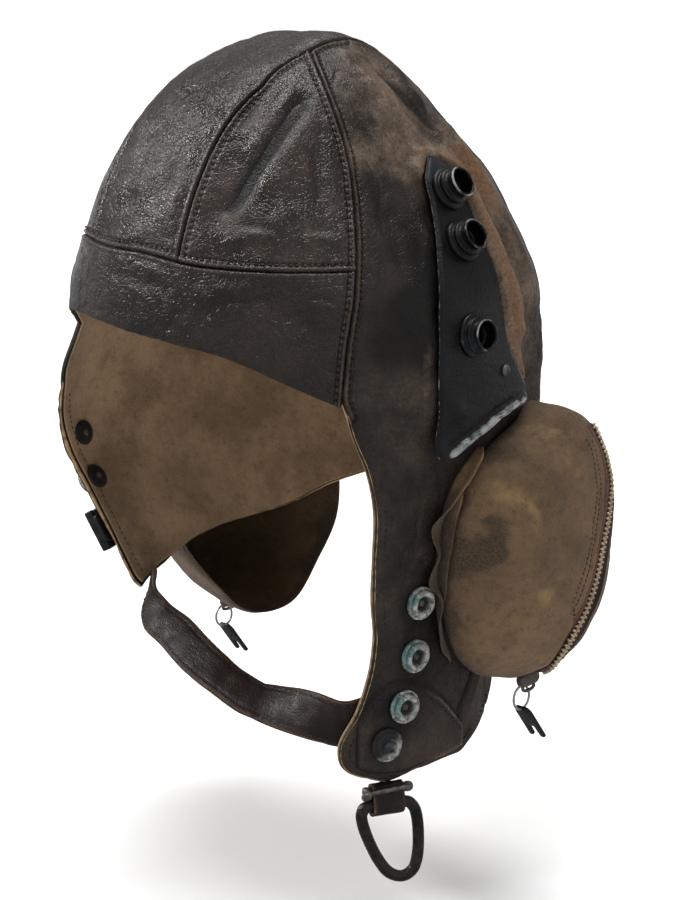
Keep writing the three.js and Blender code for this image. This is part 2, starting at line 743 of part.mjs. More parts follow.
// The raw seam of the pocket's front edge stands up from the flap as a thin fin
function buildSeamFin(side, word) {
  const outer = [];
  const inner = [];
  for (let k = finFirst; k <= finLast; k++) {
    const corner = pocketOutline[k];
    const outside = 1 + (seamFinWall + pieceGap) / pocketHalfLength;
    const foot = (size) => {
      const y = pocketMiddleY + corner.along * pocketHalfLength * size;
      const z = -pocketMiddleDrop + corner.up * pocketHalfHeight * size;
      return placeAtSide(side, y, z);
    };
    const face = (size, lift) => {
      const place = foot(size);
      return skin(place.angle, place.elev, lift);
    };
    const near = 1 + pieceGap / pocketHalfLength;
    outer.push([face(outside, seamFinSeat), face(outside, seamFinSeat + seamFinHeight)]);
    inner.push([face(near, seamFinSeat), face(near, seamFinSeat + seamFinHeight)]);
  }
  addPiece(`pocket_seam_${word}`, shell(outer, inner), finishes.suede);
}

// Puts a piece built along +Z on a place of the head form, its +Z along the outward normal
function seatOnSkin(mesh, side, angle, elev, offset) {
  const normal = faceNormal(side * angle, elev);
  const across = new THREE.Vector3(0, 0, 1).cross(normal).normalize();
  const up = normal.clone().cross(across);
  mesh.quaternion.setFromRotationMatrix(new THREE.Matrix4().makeBasis(across, up, normal));
  mesh.position.copy(skin(side * angle, elev, offset));
}

const lathe = (profile, segments) =>
  new THREE.LatheGeometry(profile.map(([r, z]) => new THREE.Vector2(r, z)), segments)
    .rotateX(Math.PI / 2);

function buildPlate() {
  const pocketTopRise = plateTie.topShare * pocketHalfHeight - pocketMiddleDrop;
  const tie = THREE.MathUtils.radToDeg(Math.atan2(pocketTopRise, halfWidth)) - plateTie.elev;
  const places = plateRows.map((row) => plateColumns.map((share) => ({
    angle: mix(row.front, row.rear, share),
    elev: row.elev + row.follow * tie,
    lift: plateSeat + row.lift * plateWall,
  })));
  const layer = (extra) =>
    places.map((row) => row.map((p) => skin(p.angle, p.elev, p.lift + extra)));
  addPiece("ear_plate", shell(layer(plateWall), layer(0)), finishes.blackPlate);

  const seat = plateSeat + plateWall + socketSeat;
  for (const socket of sockets) {
    const stepHeight = socket.height / 3;
    const profile = [
      [0, 0], [socketRadius, 0], [socketRadius, stepHeight], [socketTubeRadius, stepHeight],
      [socketTubeRadius, socket.height], [socketBore, socket.height],
      [socketBore, socketFloor], [0, socketFloor],
    ];
    const mesh = addPiece(socket.name, lathe(profile, socketSides), finishes.blackPlate);
    seatOnSkin(mesh, 1, socket.angle, socket.elev, seat);
  }
  const dome = [[0, 0], [rivetRadius, 0], [rivetRadius * 0.7, rivetHeight], [0, rivetHeight]];
  const rivet = addPiece("plate_rivet", lathe(dome, rivetSides), finishes.oldSteel);
  seatOnSkin(rivet, 1, plateRivet.angle, plateRivet.elev + plateRivet.follow * tie, seat);
}

function buildPatch() {
  const low = patchSeat;
  const layer = (offset) => patchRowShares.map((share) => patchRows.map((row) =>
    skin(row.angle, mix(row.hem, row.top, share), offset)));
  addPiece("flap_patch", shell(layer(low + patchWall), layer(low)), finishes.sideLeather);
}

function buildStuds() {
  const rimHeight = studHeight * 0.45;
  const profile = [
    [0, 0], [studRadius, 0], [studRadius, rimHeight], [studRadius * 0.8, studHeight],
    [studBore, studHeight], [studBore, rimHeight], [0, rimHeight],
  ];
  const backProfile = [
    [0, 0], [studBackRadius, 0], [studBackRadius * 0.8, studBackHeight], [0, studBackHeight],
  ];
  for (const stud of studs) {
    const lift = stud.on === "patch" ? patchSeat + patchWall : 0;
    const mesh = addPiece(stud.name, lathe(profile, studSides), finishes.oldSteel);
    seatOnSkin(mesh, stud.side, stud.angle, stud.elev, lift + studSeat);
    if (stud.side > 0) continue;
    const back = addPiece(`${stud.name}_back`, lathe(backProfile, studSides), finishes.blackPlastic);
    const depth = leatherWall + pieceGap + liningWall + studBackSeat;
    seatOnSkin(back, stud.side, stud.angle, stud.elev, -depth);
    back.rotateX(Math.PI);
  }
}

// Chin strap: a flat band carried along a line, its hidden end lying inside the left flap
function buildChinStrap() {
  const wall = leatherWall + pieceGap + liningWall;
  const depth = wall + strapSeat + strapWall / 2;
  const near = skin(strapNear.angle, strapNear.elev, -depth);
  const far = skin(strapFar.angle, strapFar.elev, -(wall + strapFarSeat + strapWall / 2));
  const stations = strapHiddenAngles.map((angle) => ({
    middle: skin(angle, strapNear.elev, -depth), width: 1, turn: 0,
  }));
  for (const row of strapRows) {
    const middle = near.clone().lerp(far, row.at);
    middle.z -= row.sag * strapSag;
    middle.y -= row.bow * strapBow;
    stations.push({ middle, width: row.width, turn: row.turn });
  }
  const corners = stations.map((station, k) => {
    const before = stations[Math.max(k - 1, 0)].middle;
    const after = stations[Math.min(k + 1, stations.length - 1)].middle;
    const along = after.clone().sub(before).normalize();
    const upright = new THREE.Vector3(0, 0, 1);
    upright.addScaledVector(along, -upright.dot(along)).normalize();
    upright.applyAxisAngle(along, radians(station.turn));
    const outward = upright.clone().cross(along).normalize();
    const corner = (w, t) => station.middle.clone()
      .addScaledVector(upright, w * station.width * strapWidth / 2)
      .addScaledVector(outward, t * strapWall / 2);
    return { outer: [corner(-1, 1), corner(1, 1)], inner: [corner(-1, -1), corner(1, -1)] };
  });
  const geometry = shell(corners.map((c) => c.outer), corners.map((c) => c.inner));
  addPiece("chin_strap", geometry, finishes.strapLeather);
}

// Buckle under the left flap: the bar, the tab and the loop share one frame, X along the bar
function buildBuckle() {
  const barWay = new THREE.Vector3(Math.sin(radians(barTurn)), Math.cos(radians(barTurn)), 0);
  const normal = barWay.clone().cross(new THREE.Vector3(0, 0, 1));
  const hem = skin(bucklePlace.angle, flapEdges.left.at(-1).elev, -leatherWall / 2);
  const frame = new THREE.Group();
  frame.quaternion.setFromRotationMatrix(
    new THREE.Matrix4().makeBasis(barWay, new THREE.Vector3(0, 0, 1), normal));
  frame.position.copy(hem).addScaledVector(barWay, barShift);
  frame.position.z -= barDrop;
  helmet.add(frame);

  const barProfile = [
    [0, -barLength / 2], [barRadius, -barLength / 2], [barRadius, barLength / 2 - barBallRadius],
    [barBallRadius, barLength / 2], [barBallRadius, barLength / 2 + barBallRadius],
    [0, barLength / 2 + 2 * barBallRadius],
  ];
  const bar = new THREE.Mesh(lathe(barProfile, barSides).rotateY(Math.PI / 2), finishes.oldSteel);
  bar.name = "buckle_bar";
  frame.add(bar);

  // Tab: a rounded strip section with one round hole for the bar and one for the loop's top
  const loopRadius = buckleWire / 2;
  const upperHole = barRadius + tabClearance;
  const lowerHole = loopRadius + tabClearance;
  const outline = new THREE.Shape();
  outline.absarc(0, 0, upperHole + tabWall, 0, Math.PI, false);
  outline.absarc(0, -barToLoop, lowerHole + tabWall, Math.PI, 2 * Math.PI, false);
  for (const [y, r] of [[0, upperHole], [-barToLoop, lowerHole]]) {
    const hole = new THREE.Path();
    hole.absarc(0, y, r / Math.cos(Math.PI / holeSides), 0, 2 * Math.PI, true);
    outline.holes.push(hole);
  }
  const tabShape = new THREE.ExtrudeGeometry(
    outline, { depth: tabWidth, bevelEnabled: false, curveSegments: holeSides / 2 });
  tabShape.translate(0, 0, -tabWidth / 2).rotateY(Math.PI / 2);
  const tab = new THREE.Mesh(tabShape, finishes.strapLeather);
  tab.name = "buckle_tab";
  frame.add(tab);

  const halfAcross = (buckleWidth - buckleWire) / 2;
  const down = buckleHeight - buckleWire;
  const corner = (p, side) => new THREE.Vector3(
    side * p.across * halfAcross + p.down * loopLean, -barToLoop - p.down * down, 0);
  const rightHalf = buckleOutline.map((p) => corner(p, 1));
  const leftHalf = buckleOutline.slice(0, -1).reverse().map((p) => corner(p, -1));
  const ring = [...rightHalf, ...leftHalf];
  const loop = new THREE.Mesh(wireRing(ring, loopRadius, loopSides), finishes.bronze);
  loop.name = "buckle_loop";
  frame.add(loop);
}

// A round wire along a closed flat ring of corners, mitred at each corner
function wireRing(ring, radius, sides) {
  const points = [];
  const index = [];
  const count = ring.length;
  const facing = new THREE.Vector3(0, 0, 1);
  ring.forEach((corner, k) => {
    const before = corner.clone().sub(ring[(k + count - 1) % count]).normalize();
    const after = ring[(k + 1) % count].clone().sub(corner).normalize();
    const along = before.clone().add(after).normalize();
    const stretch = 1 / Math.max(along.dot(after), 0.5);
    const outward = along.clone().cross(facing).normalize();
    for (let s = 0; s < sides; s++) {
      const turn = (s + 0.5) / sides * 2 * Math.PI;
      points.push(corner.clone()
        .addScaledVector(outward, Math.cos(turn) * radius * stretch)
        .addScaledVector(facing, Math.sin(turn) * radius));
    }
  });
  for (let k = 0; k < count; k++) {
    for (let s = 0; s < sides; s++) {
      const a = k * sides + s;
      const b = k * sides + (s + 1) % sides;
      const c = ((k + 1) % count) * sides + (s + 1) % sides;
      const d = ((k + 1) % count) * sides + s;
      index.push(a, b, c, a, c, d);
    }
  }
  return solid(points, index);
}

// Zip slider at the lower end of the zip, its ring and its forked pull
function buildZipPull(side, word, grid) {
  const { section, corner } = sliderPlace;
  const normal = gridPlaceNormal(grid, section, corner, side);
  const lengthways = new THREE.Vector3(0, 1, 0);
  lengthways.addScaledVector(normal, -lengthways.dot(normal)).normalize();
  const sideways = lengthways.clone().cross(normal);
  const slider = new THREE.BoxGeometry(sliderWall, sliderLength, sliderHeight);
  const body = addPiece(`zip_slider_${word}`, slider, finishes.oldSteel);
  const turn = new THREE.Matrix4().makeBasis(sideways, lengthways, normal);
  body.quaternion.setFromRotationMatrix(turn);
  body.position.copy(gridPoint(grid, section, corner))
    .addScaledVector(normal, sliderSeat + sliderHeight / 2);
  const foot = body.position.clone().addScaledVector(lengthways, -ringForward);

  const ringCorners = [];
  for (let k = 0; k < ringSides; k++) {
    const way = k / ringSides * 2 * Math.PI;
    ringCorners.push(new THREE.Vector3(
      Math.cos(way) * pullRingRadius, Math.sin(way) * pullRingRadius, 0));
  }
  const wire = wireRing(ringCorners, pullRingWire / 2, ringWireSides);
  const ring = addPiece(`pull_ring_${word}`, wire, finishes.oldSteel);
  const ringDrop = sliderHeight / 2 + pullRingRadius + pullRingWire / 2 + pieceGap + ringSlack;
  ring.rotation.set(0, Math.PI / 2, 0);
  ring.position.copy(foot).add(new THREE.Vector3(0, 0, -ringDrop));

  const fork = new THREE.Shape();
  const halfPull = pullWidth / 2;
  fork.moveTo(-halfPull, 0);
  fork.lineTo(halfPull, 0);
  fork.lineTo(halfPull, -pullLength);
  fork.lineTo(halfPull / 3, -pullLength);
  fork.lineTo(0, -pullLength * forkDepth);
  fork.lineTo(-halfPull / 3, -pullLength);
  fork.lineTo(-halfPull, -pullLength);
  const pull = new THREE.ExtrudeGeometry(fork, { depth: pullWall, bevelEnabled: false });
  const pullDrop = ringDrop + pullRingRadius + pullRingWire / 2 + pieceGap + pullWall / 2;
  pull.translate(0, 0, -pullWall / 2).rotateX(Math.PI / 2);
  const mesh = addPiece(`pull_tab_${word}`, pull, finishes.blackPlastic);
  mesh.rotation.set(radians(pullLean), 0, 0);
  mesh.position.copy(foot).add(new THREE.Vector3(0, 0, -pullDrop));
}

// Clip outside the right flap: a slotted barrel on a small base
function buildSideClip() {
  const baseShape = new THREE.BoxGeometry(clipBaseWidth, clipBaseLength, clipBaseWall);
  const base = addPiece("clip_base", baseShape, finishes.blackPlastic);
  seatOnSkin(base, -1, clipPlace.angle, clipPlace.elev, clipSeat + clipBaseWall / 2);
  const profile = new THREE.Shape();
  const half = clipWidth / 2;
  profile.moveTo(-half, -clipLength / 2);
  profile.lineTo(half, -clipLength / 2);
  profile.lineTo(half, clipLength / 2);
  profile.lineTo(clipSlot / 2, clipLength / 2);
  profile.lineTo(clipSlot / 2, 0);
  profile.lineTo(-clipSlot / 2, 0);
  profile.lineTo(-clipSlot / 2, clipLength / 2);
  profile.lineTo(-half, clipLength / 2);
  const clip = new THREE.ExtrudeGeometry(profile, { depth: clipDepth, bevelEnabled: false });
  const mesh = addPiece("side_clip", clip, finishes.blackPlastic);
  const lift = clipSeat + clipBaseWall + pieceGap;
  seatOnSkin(mesh, -1, clipPlace.angle, clipPlace.elev, lift);
}

buildStrip();
buildBrowBand();
for (const [side, word] of [[1, "left"], [-1, "right"]]) {
  buildGore(side, word);
  buildSidePanel(side, word);
  const grid = buildPocket(side, word);
  buildSeamFin(side, word);
  buildZip(side, word, grid);
  buildZipPull(side, word, grid);
}
buildPlate();
buildPatch();
buildStuds();
buildChinStrap();
buildBuckle();
buildSideClip();

// The lining's highest point goes to the origin
helmet.position.z = -(crownRise - leatherWall - pieceGap - liningWall);

export default helmet;
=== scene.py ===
import time
import bmesh
import bpy
import numpy as np
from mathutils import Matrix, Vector


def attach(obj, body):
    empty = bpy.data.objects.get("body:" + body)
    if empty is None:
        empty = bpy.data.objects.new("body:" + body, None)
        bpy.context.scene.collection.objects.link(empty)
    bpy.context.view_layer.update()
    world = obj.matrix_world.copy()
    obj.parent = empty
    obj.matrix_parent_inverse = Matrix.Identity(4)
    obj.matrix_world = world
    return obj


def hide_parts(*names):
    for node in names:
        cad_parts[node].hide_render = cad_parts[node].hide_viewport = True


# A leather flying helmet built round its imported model. Shapes are worked out in millimetres on the
# head form, whose widest level is z = 0, and become metres in the model's own place at the end.
started = time.time()
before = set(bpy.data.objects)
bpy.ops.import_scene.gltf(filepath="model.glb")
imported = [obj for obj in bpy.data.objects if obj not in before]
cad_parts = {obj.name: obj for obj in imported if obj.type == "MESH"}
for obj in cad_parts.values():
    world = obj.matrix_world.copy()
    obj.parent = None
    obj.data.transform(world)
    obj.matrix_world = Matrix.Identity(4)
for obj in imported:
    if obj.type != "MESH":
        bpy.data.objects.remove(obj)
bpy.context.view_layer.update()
mm = 0.001
originDrop = 102.85  # from the widest level of the head form up to the model's origin
sameDistance = 4e-6  # points closer than this, in metres, become one


def stage(words):
    # the seconds since the start, then the words
    print(f"{time.time() - started:6.1f} s  {words}")


hands = (("left", 1), ("right", -1))  # the wearer's sides with their signs across


# small formulas
def mix(a, b, share):
    # from a to b by a share of the way
    return a + (b - a) * share


def ramp(value, low, high):
    # nought at low and one at high, straight between and flat past both
    return np.clip((value - low) / (high - low), 0, 1)


def bell(away, width):
    # one at no distance, then e to the minus square of the distance over the width
    return np.exp(-((away / width) ** 2))


def disc(away, width):
    # like a bell with the fourth power, so it is flat in the middle
    return np.exp(-((away / width) ** 4))


def camel(name):
    # words joined by underscores become one word with inner capitals
    first, *rest = name.split("_")
    return first + "".join(word.capitalize() for word in rest)


# camera
camera = dict(azimuth=44, elevation=11, distance=865, target=(27.5, 0, -67), lens=82.36)


def direction(azimuth, elevation):
    # from the object towards the viewer: round from the front, then up, both in degrees
    a, e = np.radians(azimuth), np.radians(elevation)
    return np.array([np.sin(a) * np.cos(e), -np.cos(a) * np.cos(e), np.sin(e)])


def toModel(points):
    # head form millimetres to metres from the model's origin
    return (np.asarray(points, float) - [0, 0, originDrop]) * mm


def aimed(kind, name, place, target):
    # a camera or a light at a place, looking at the target
    thing = bpy.data.objects.new(name, kind)
    bpy.context.scene.collection.objects.link(thing)
    way = Vector(target) - Vector(place)
    thing.location = place
    thing.rotation_euler = way.to_track_quat("-Z", "Y").to_euler()
    return thing


eye = bpy.data.cameras.new("photoCamera")
eye.lens = camera["lens"]
eye.clip_end = 100
target = toModel(camera["target"])
place = target + direction(camera["azimuth"], camera["elevation"]) * camera["distance"] * mm
bpy.context.scene.camera = aimed(eye, "photoCamera", place, target)


# tables and the head form
def table(names, *rows):
    # rows of numbers become one array for each name
    return dict(zip(names.split(), np.array(rows, float).T))


head = dict(crownRise=106, halfWidth=89, frontReach=99, backReach=107, squareness=0.15)
leather = dict(wall=1.8, lining=1.0, gap=0.35, seamGap=0.2, stripHalf=26, hem=-42,
               flapTop=-22.5)
leatherDepth = leather["wall"] + leather["gap"] + leather["lining"]  # down to the lining's back
headRows = table(
    "elev front left right back",
    (-68, 0.925, 0.925, 0.62, 0.8), (-60, 0.925, 0.935, 0.8, 0.83), (-50, 0.935, 0.96, 0.93, 0.87),
    (-40, 0.95, 0.99, 1.0, 0.93), (-30, 0.965, 1.02, 1.03, 0.985), (-15, 0.985, 1.032, 1.035, 1.0),
    (0, 1.0, 1.0, 1.0, 1.0), (15, 0.99, 0.92, 0.92, 0.94), (30, 0.99, 0.872, 0.872, 0.92),
    (45, 0.995, 0.885, 0.885, 0.868), (60, 0.988, 0.942, 0.942, 0.89),
    (75, 0.968, 1.005, 1.005, 0.937), (90, 1.0, 1.0, 1.0, 1.0))
swell = dict(angle=-58, elev=-32, spreadAngle=30, spreadElev=17, push=0.22)
foldColumns = "angleA elevA angleB elevB spread depth"
headFolds = table(
    foldColumns,
    (113, 46, 113, -8, 3, 0.045), (118, 50, 121, -22, 3.4, -0.035), (127, 46, 129, -30, 4, 0.03),
    (100, 68, 104, 42, 4, -0.03), (31, 56, 24, 22, 3.4, -0.02), (42, 50, 40, 20, 5, 0.014),
    (36, 3, 46, -2, 3, -0.014))
bandSeam = table(
    "angle elev", (-60, 13), (-22, 14.6), (-8, 13.2), (5, 12.6), (20, 10.4), (38, 9.6), (60, 9.8))
browRim = table(
    "angle elev", (-60, -12), (-45, -6), (-20, -3), (0, -5), (14, -6.8), (29, -10), (41, -15),
    (54, -20.5), (60, -23))
goreSeam = table(
    "elev angle", (-24, 54), (-8, 55.5), (5, 58), (20, 60), (45, 60), (60, 55), (70, 51))
flapEdges = {
    "left": table(
        "elev front rear", (-66.4, 68, 98), (-65.4, 58, 107), (-64, 55, 115), (-62.2, 60, 119),
        (-60, 63.4, 123), (-57.3, 64.9, 128), (-53.7, 64.2, 134), (-48.5, 64.1, 146),
        (-42, 64.1, 169), (-34.6, 61.5, 171), (-27, 57.4, 172), (-20, 55.2, 173)),
    "right": table(
        "elev front rear", (-61, 58, 73), (-59.5, 57, 88), (-57.3, 57, 104), (-53.7, 57, 126),
        (-48.5, 58, 144), (-42, 60, 168), (-34.6, 60, 171), (-27, 58, 172), (-20, 56, 173)),
}


def tableValue(rows, key, column, at):
    # smooth curve through the rows: at each row its slope is the weighted mean of its neighbours'
    x, y = rows[key], rows[column]
    at = np.clip(at, x[0], x[-1])
    step = np.diff(x)
    slope = np.diff(y) / step
    tangent = np.concatenate([slope[:1], slope, slope[-1:]])[:len(x)]
    tangent[-1] = slope[-1]
    tangent[1:-1] = (slope[1:] * step[:-1] + slope[:-1] * step[1:]) / (step[1:] + step[:-1])
    i = np.clip(np.searchsorted(x, at, side="right") - 1, 0, len(x) - 2)
    h = step[i]
    t = (at - x[i]) / h
    return (y[i] * (1 + 2 * t) * (1 - t) ** 2 + tangent[i] * h * t * (1 - t) ** 2
            + y[i + 1] * t * t * (3 - 2 * t) + tangent[i + 1] * h * t * t * (t - 1))


def foldPush(rows, angle, elev):
    # sum over the folds of depth times a bell of the distance, in degrees, to the fold's line
    narrow = np.maximum(np.cos(np.radians(elev)), 0.3)
    push = np.zeros(np.broadcast(angle, elev).shape)
    for angleA, elevA, angleB, elevB, spread, depth in zip(*rows.values()):
        ax, ay = (angleB - angleA) * narrow, elevB - elevA
        px, py = (angle - angleA) * narrow, elev - elevA
        t = np.clip((px * ax + py * ay) / (ax * ax + ay * ay), 0, 1)
        push += depth * bell(np.hypot(px - t * ax, py - t * ay), spread)
    return push


def headRadius(angle, elev):
    # reach of the centre's ray: a rounded box of side and front reaches, plus swell and folds
    s, c = np.sin(np.radians(angle)), np.cos(np.radians(angle))
    e = np.radians(elev)
    crown = head["crownRise"]

    def reach(size):
        above = 1 / np.hypot(np.cos(e) / size, np.sin(e) / crown)
        return np.where(elev >= 0, above, size / np.cos(e))

    sides = np.where(s >= 0, tableValue(headRows, "elev", "left", elev),
                     tableValue(headRows, "elev", "right", elev)) * reach(head["halfWidth"])
    front = tableValue(headRows, "elev", "front", elev) * reach(head["frontReach"])
    back = tableValue(headRows, "elev", "back", elev) * reach(head["backReach"])
    along = np.where(c >= 0, front, back)
    power = 2 + head["squareness"] * np.cos(e)
    r = ((np.abs(s) / sides) ** power + (np.abs(c) / along) ** power) ** (-1 / power)
    turn = np.mod(angle - swell["angle"] + 540, 360) - 180
    fade = (turn / swell["spreadAngle"]) ** 2
    fade = fade + ((elev - swell["elev"]) / swell["spreadElev"]) ** 2
    r = r + swell["push"] * head["halfWidth"] * np.exp(-fade)
    return r + foldPush(headFolds, angle, elev) * head["halfWidth"]


def facePoint(angle, elev):
    # the ray at an angle round from the front and an elevation, times its reach
    r = headRadius(angle, elev)
    a, e = np.radians(angle), np.radians(elev)
    return np.stack([r * np.cos(e) * np.sin(a), -r * np.cos(e) * np.cos(a), r * np.sin(e)], -1)


def unit(vectors):
    # each vector over its own length
    return vectors / np.maximum(np.linalg.norm(vectors, axis=-1, keepdims=True), 1e-9)


def spotGap(points, angle, elev):
    # straight distance of points from one place on the head form
    return np.linalg.norm(points - facePoint(np.array(float(angle)), np.array(float(elev))), axis=-1)


def faceNormal(angle, elev):
    # cross product of the face's slopes over two degrees
    e = np.minimum(elev, 88.5)
    across = facePoint(angle + 1, e) - facePoint(angle - 1, e)
    return unit(np.cross(across, facePoint(angle, e + 1) - facePoint(angle, e - 1)))


def faceAndNormal(angle, elev):
    # the face's points and the directions out of them
    return facePoint(angle, elev), faceNormal(angle, elev)


def skin(angle, elev, lift=0.0):
    # a place on the leather's face, lifted along the face's normal
    angle, elev = np.asarray(angle, float), np.asarray(elev, float)
    return facePoint(angle, elev) + faceNormal(angle, elev) * np.asarray(lift)[..., None]


def polar(points):
    # angle, elevation and distance of points seen from the centre
    x, y, z = np.moveaxis(points, -1, 0)
    flat = np.hypot(x, y)
    return np.degrees(np.arctan2(x, -y)), np.degrees(np.arctan2(z, flat)), np.hypot(flat, z)


def bisect(low, high, test):
    # halves the stretch from low to high again and again, keeping the half where test turns
    for _ in range(32):
        middle = (low + high) / 2
        passed = test(middle)
        low, high = np.where(passed, middle, low), np.where(passed, high, middle)
    return (low + high) / 2


def stripEdgeAngle(elev, side, behind, edge):
    # the angle where the face at that elevation is edge millimetres from the middle plane
    elev = np.asarray(elev, float)
    near = np.full(elev.shape, 90.0)
    reach = lambda angle: np.abs(facePoint(side * angle, elev)[..., 0])
    if behind:
        return bisect(near, near * 2, lambda angle: reach(angle) > edge)
    return bisect(near * 0, near, lambda angle: reach(angle) < edge)


def shares(count, crowd=0.55):
    # from 0 to 1, closer together at both ends
    t = np.linspace(0, 1, count)
    return t - crowd * np.sin(2 * np.pi * t) / (2 * np.pi)


def lattice(points, size, seed):
    # smooth random heights from -1 to 1, drawn on a lattice of that size in millimetres
    values = np.random.default_rng(seed).uniform(-1, 1, (32, 32, 32))
    p = points / size + 400
    base = np.floor(p).astype(int)
    f = p - base
    f = f * f * (3 - 2 * f)
    total = np.zeros(points.shape[:-1])
    for corner in np.ndindex(2, 2, 2):
        weight = np.prod(np.where(corner, f, 1 - f), axis=-1)
        i, j, k = np.moveaxis((base + corner) % 32, -1, 0)
        total += weight * values[i, j, k]
    return total


def rough(points, size, seed, layers=3, stretch=(1, 1, 1)):
    # layers of lattice heights, each half the size and half the height of the one before
    total = 0
    for k in range(layers):
        total = total + lattice(points * stretch, size / 2 ** k, seed + k) / 2 ** k
    return total


def nearest(points, line):
    # distance from each point to a dense line, and how far along it that lies
    flat = points.reshape(-1, 3)
    run = alongLine(line)
    away, place = [], []
    for part in np.array_split(flat, max(1, len(flat) // 4000)):
        gap = (part ** 2).sum(1)[:, None] + (line ** 2).sum(1) - 2 * part @ line.T
        best = gap.argmin(1)
        away.append(np.sqrt(np.maximum(gap[np.arange(len(part)), best], 0)))
        place.append(run[best])
    shape = points.shape[:-1]
    return np.concatenate(away).reshape(shape), np.concatenate(place).reshape(shape)


def alongLine(line):
    # running sum of the lengths of a line's steps
    return np.concatenate([[0], np.cumsum(np.linalg.norm(np.diff(line, axis=0), axis=1))])


def evenly(line, spacing=0.4):
    # the same line in short equal steps
    return resample(line, spacing)[0]


def resample(line, spacing, *others):
    # points at equal spacing along a line, and other values carried along with them
    run = alongLine(line)
    count = max(2, int(run[-1] / spacing) + 1)
    at = np.linspace(0, run[-1], count)
    return [interpolate(run, values, at) for values in (line, *others)]


def interpolate(run, values, at):
    # values at distances along a line, straight between its points
    values = np.asarray(values, float)
    if values.ndim == 1:
        return np.interp(at, run, values)
    return np.stack([np.interp(at, run, column) for column in values.T], -1)


def weights(t):
    # shares of the four neighbouring points of a smooth curve, at a share t of one step
    return np.array([-t ** 3 + 2 * t ** 2 - t, 3 * t ** 3 - 5 * t ** 2 + 2,
                     -3 * t ** 3 + 4 * t ** 2 + t, t ** 3 - t ** 2]) / 2


def smoothLine(stations, count):
    # a curve through all stations, evenly spaced
    before, after = 2 * stations[0] - stations[1], 2 * stations[-1] - stations[-2]
    ends = np.concatenate([[before], stations, [after]])
    at = np.linspace(0, len(stations) - 1.0001, count)
    k = np.floor(at).astype(int)
    w = weights(at - k)
    return sum(w[i][:, None] * ends[k + i] for i in range(4))


# meshes
def gridFaces(rows, columns, roundRows=False, roundColumns=False, first=0):
    # faces between neighbouring rows and columns, closed round where asked
    r, c = np.meshgrid(np.arange(rows - (not roundRows)), np.arange(columns - (not roundColumns)),
                       indexing="ij")
    up, over = (r + 1) % rows, (c + 1) % columns
    quads = [r * columns + c, r * columns + over, up * columns + over, up * columns + c]
    return np.stack(quads, -1).reshape(-1, 4) + first


def beads(count, rings, corners):
    # faces of that many small bodies, each a stack of rings of corners with an end face on both sides
    around = np.arange(corners)
    ends = np.stack([around[::-1], (rings - 1) * corners + around])
    first = np.arange(count)[:, None, None] * rings * corners
    body = gridFaces(rings, corners, roundColumns=True)
    return [(body + first).reshape(-1, 4), (ends + first).reshape(-1, corners)]


def makeObject(name, parts, material, replaced=(), body="helmet"):
    # parts are (points, [faces], {attribute: values}); they become one mesh riding on a body
    points, faces, offset = [], [], 0
    names = sorted({key for part in parts if len(part) > 2 for key in part[2]})
    values = {key: [] for key in names}
    for part in parts:
        flat = np.asarray(part[0], float).reshape(-1, 3)
        points.append(flat)
        faces += [np.asarray(group) + offset for group in part[1]]
        for key in names:
            given = part[2].get(key, 0) if len(part) > 2 else 0
            values[key].append(np.broadcast_to(np.asarray(given, float).ravel(), len(flat)))
        offset += len(flat)
    corners = np.concatenate([group.ravel() for group in faces]).astype(np.int32)
    sizes = np.concatenate([np.full(len(group), group.shape[1]) for group in faces])
    mesh = bpy.data.meshes.new(name)
    mesh.vertices.add(offset)
    mesh.vertices.foreach_set("co", toModel(np.concatenate(points)).ravel())
    mesh.loops.add(len(corners))
    mesh.loops.foreach_set("vertex_index", corners)
    mesh.polygons.add(len(sizes))
    mesh.polygons.foreach_set("loop_start", np.concatenate([[0], np.cumsum(sizes)[:-1]]))
    mesh.update(calc_edges=True)
    for key in names:
        layer = mesh.attributes.new(key, "FLOAT", "POINT")
        layer.data.foreach_set("value", np.concatenate(values[key]))
    work = bmesh.new()
    work.from_mesh(mesh)
    bmesh.ops.remove_doubles(work, verts=work.verts, dist=sameDistance)
    bmesh.ops.recalc_face_normals(work, faces=work.faces)
    work.to_mesh(mesh)
    work.free()
    mesh.validate()
    mesh.polygons.foreach_set("use_smooth", np.ones(len(mesh.polygons), bool))
    mesh.materials.append(material)
    made = bpy.data.objects.new(name, mesh)
    bpy.context.scene.collection.objects.link(made)
    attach(made, body)
    if replaced:
        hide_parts(*replaced)
    return made


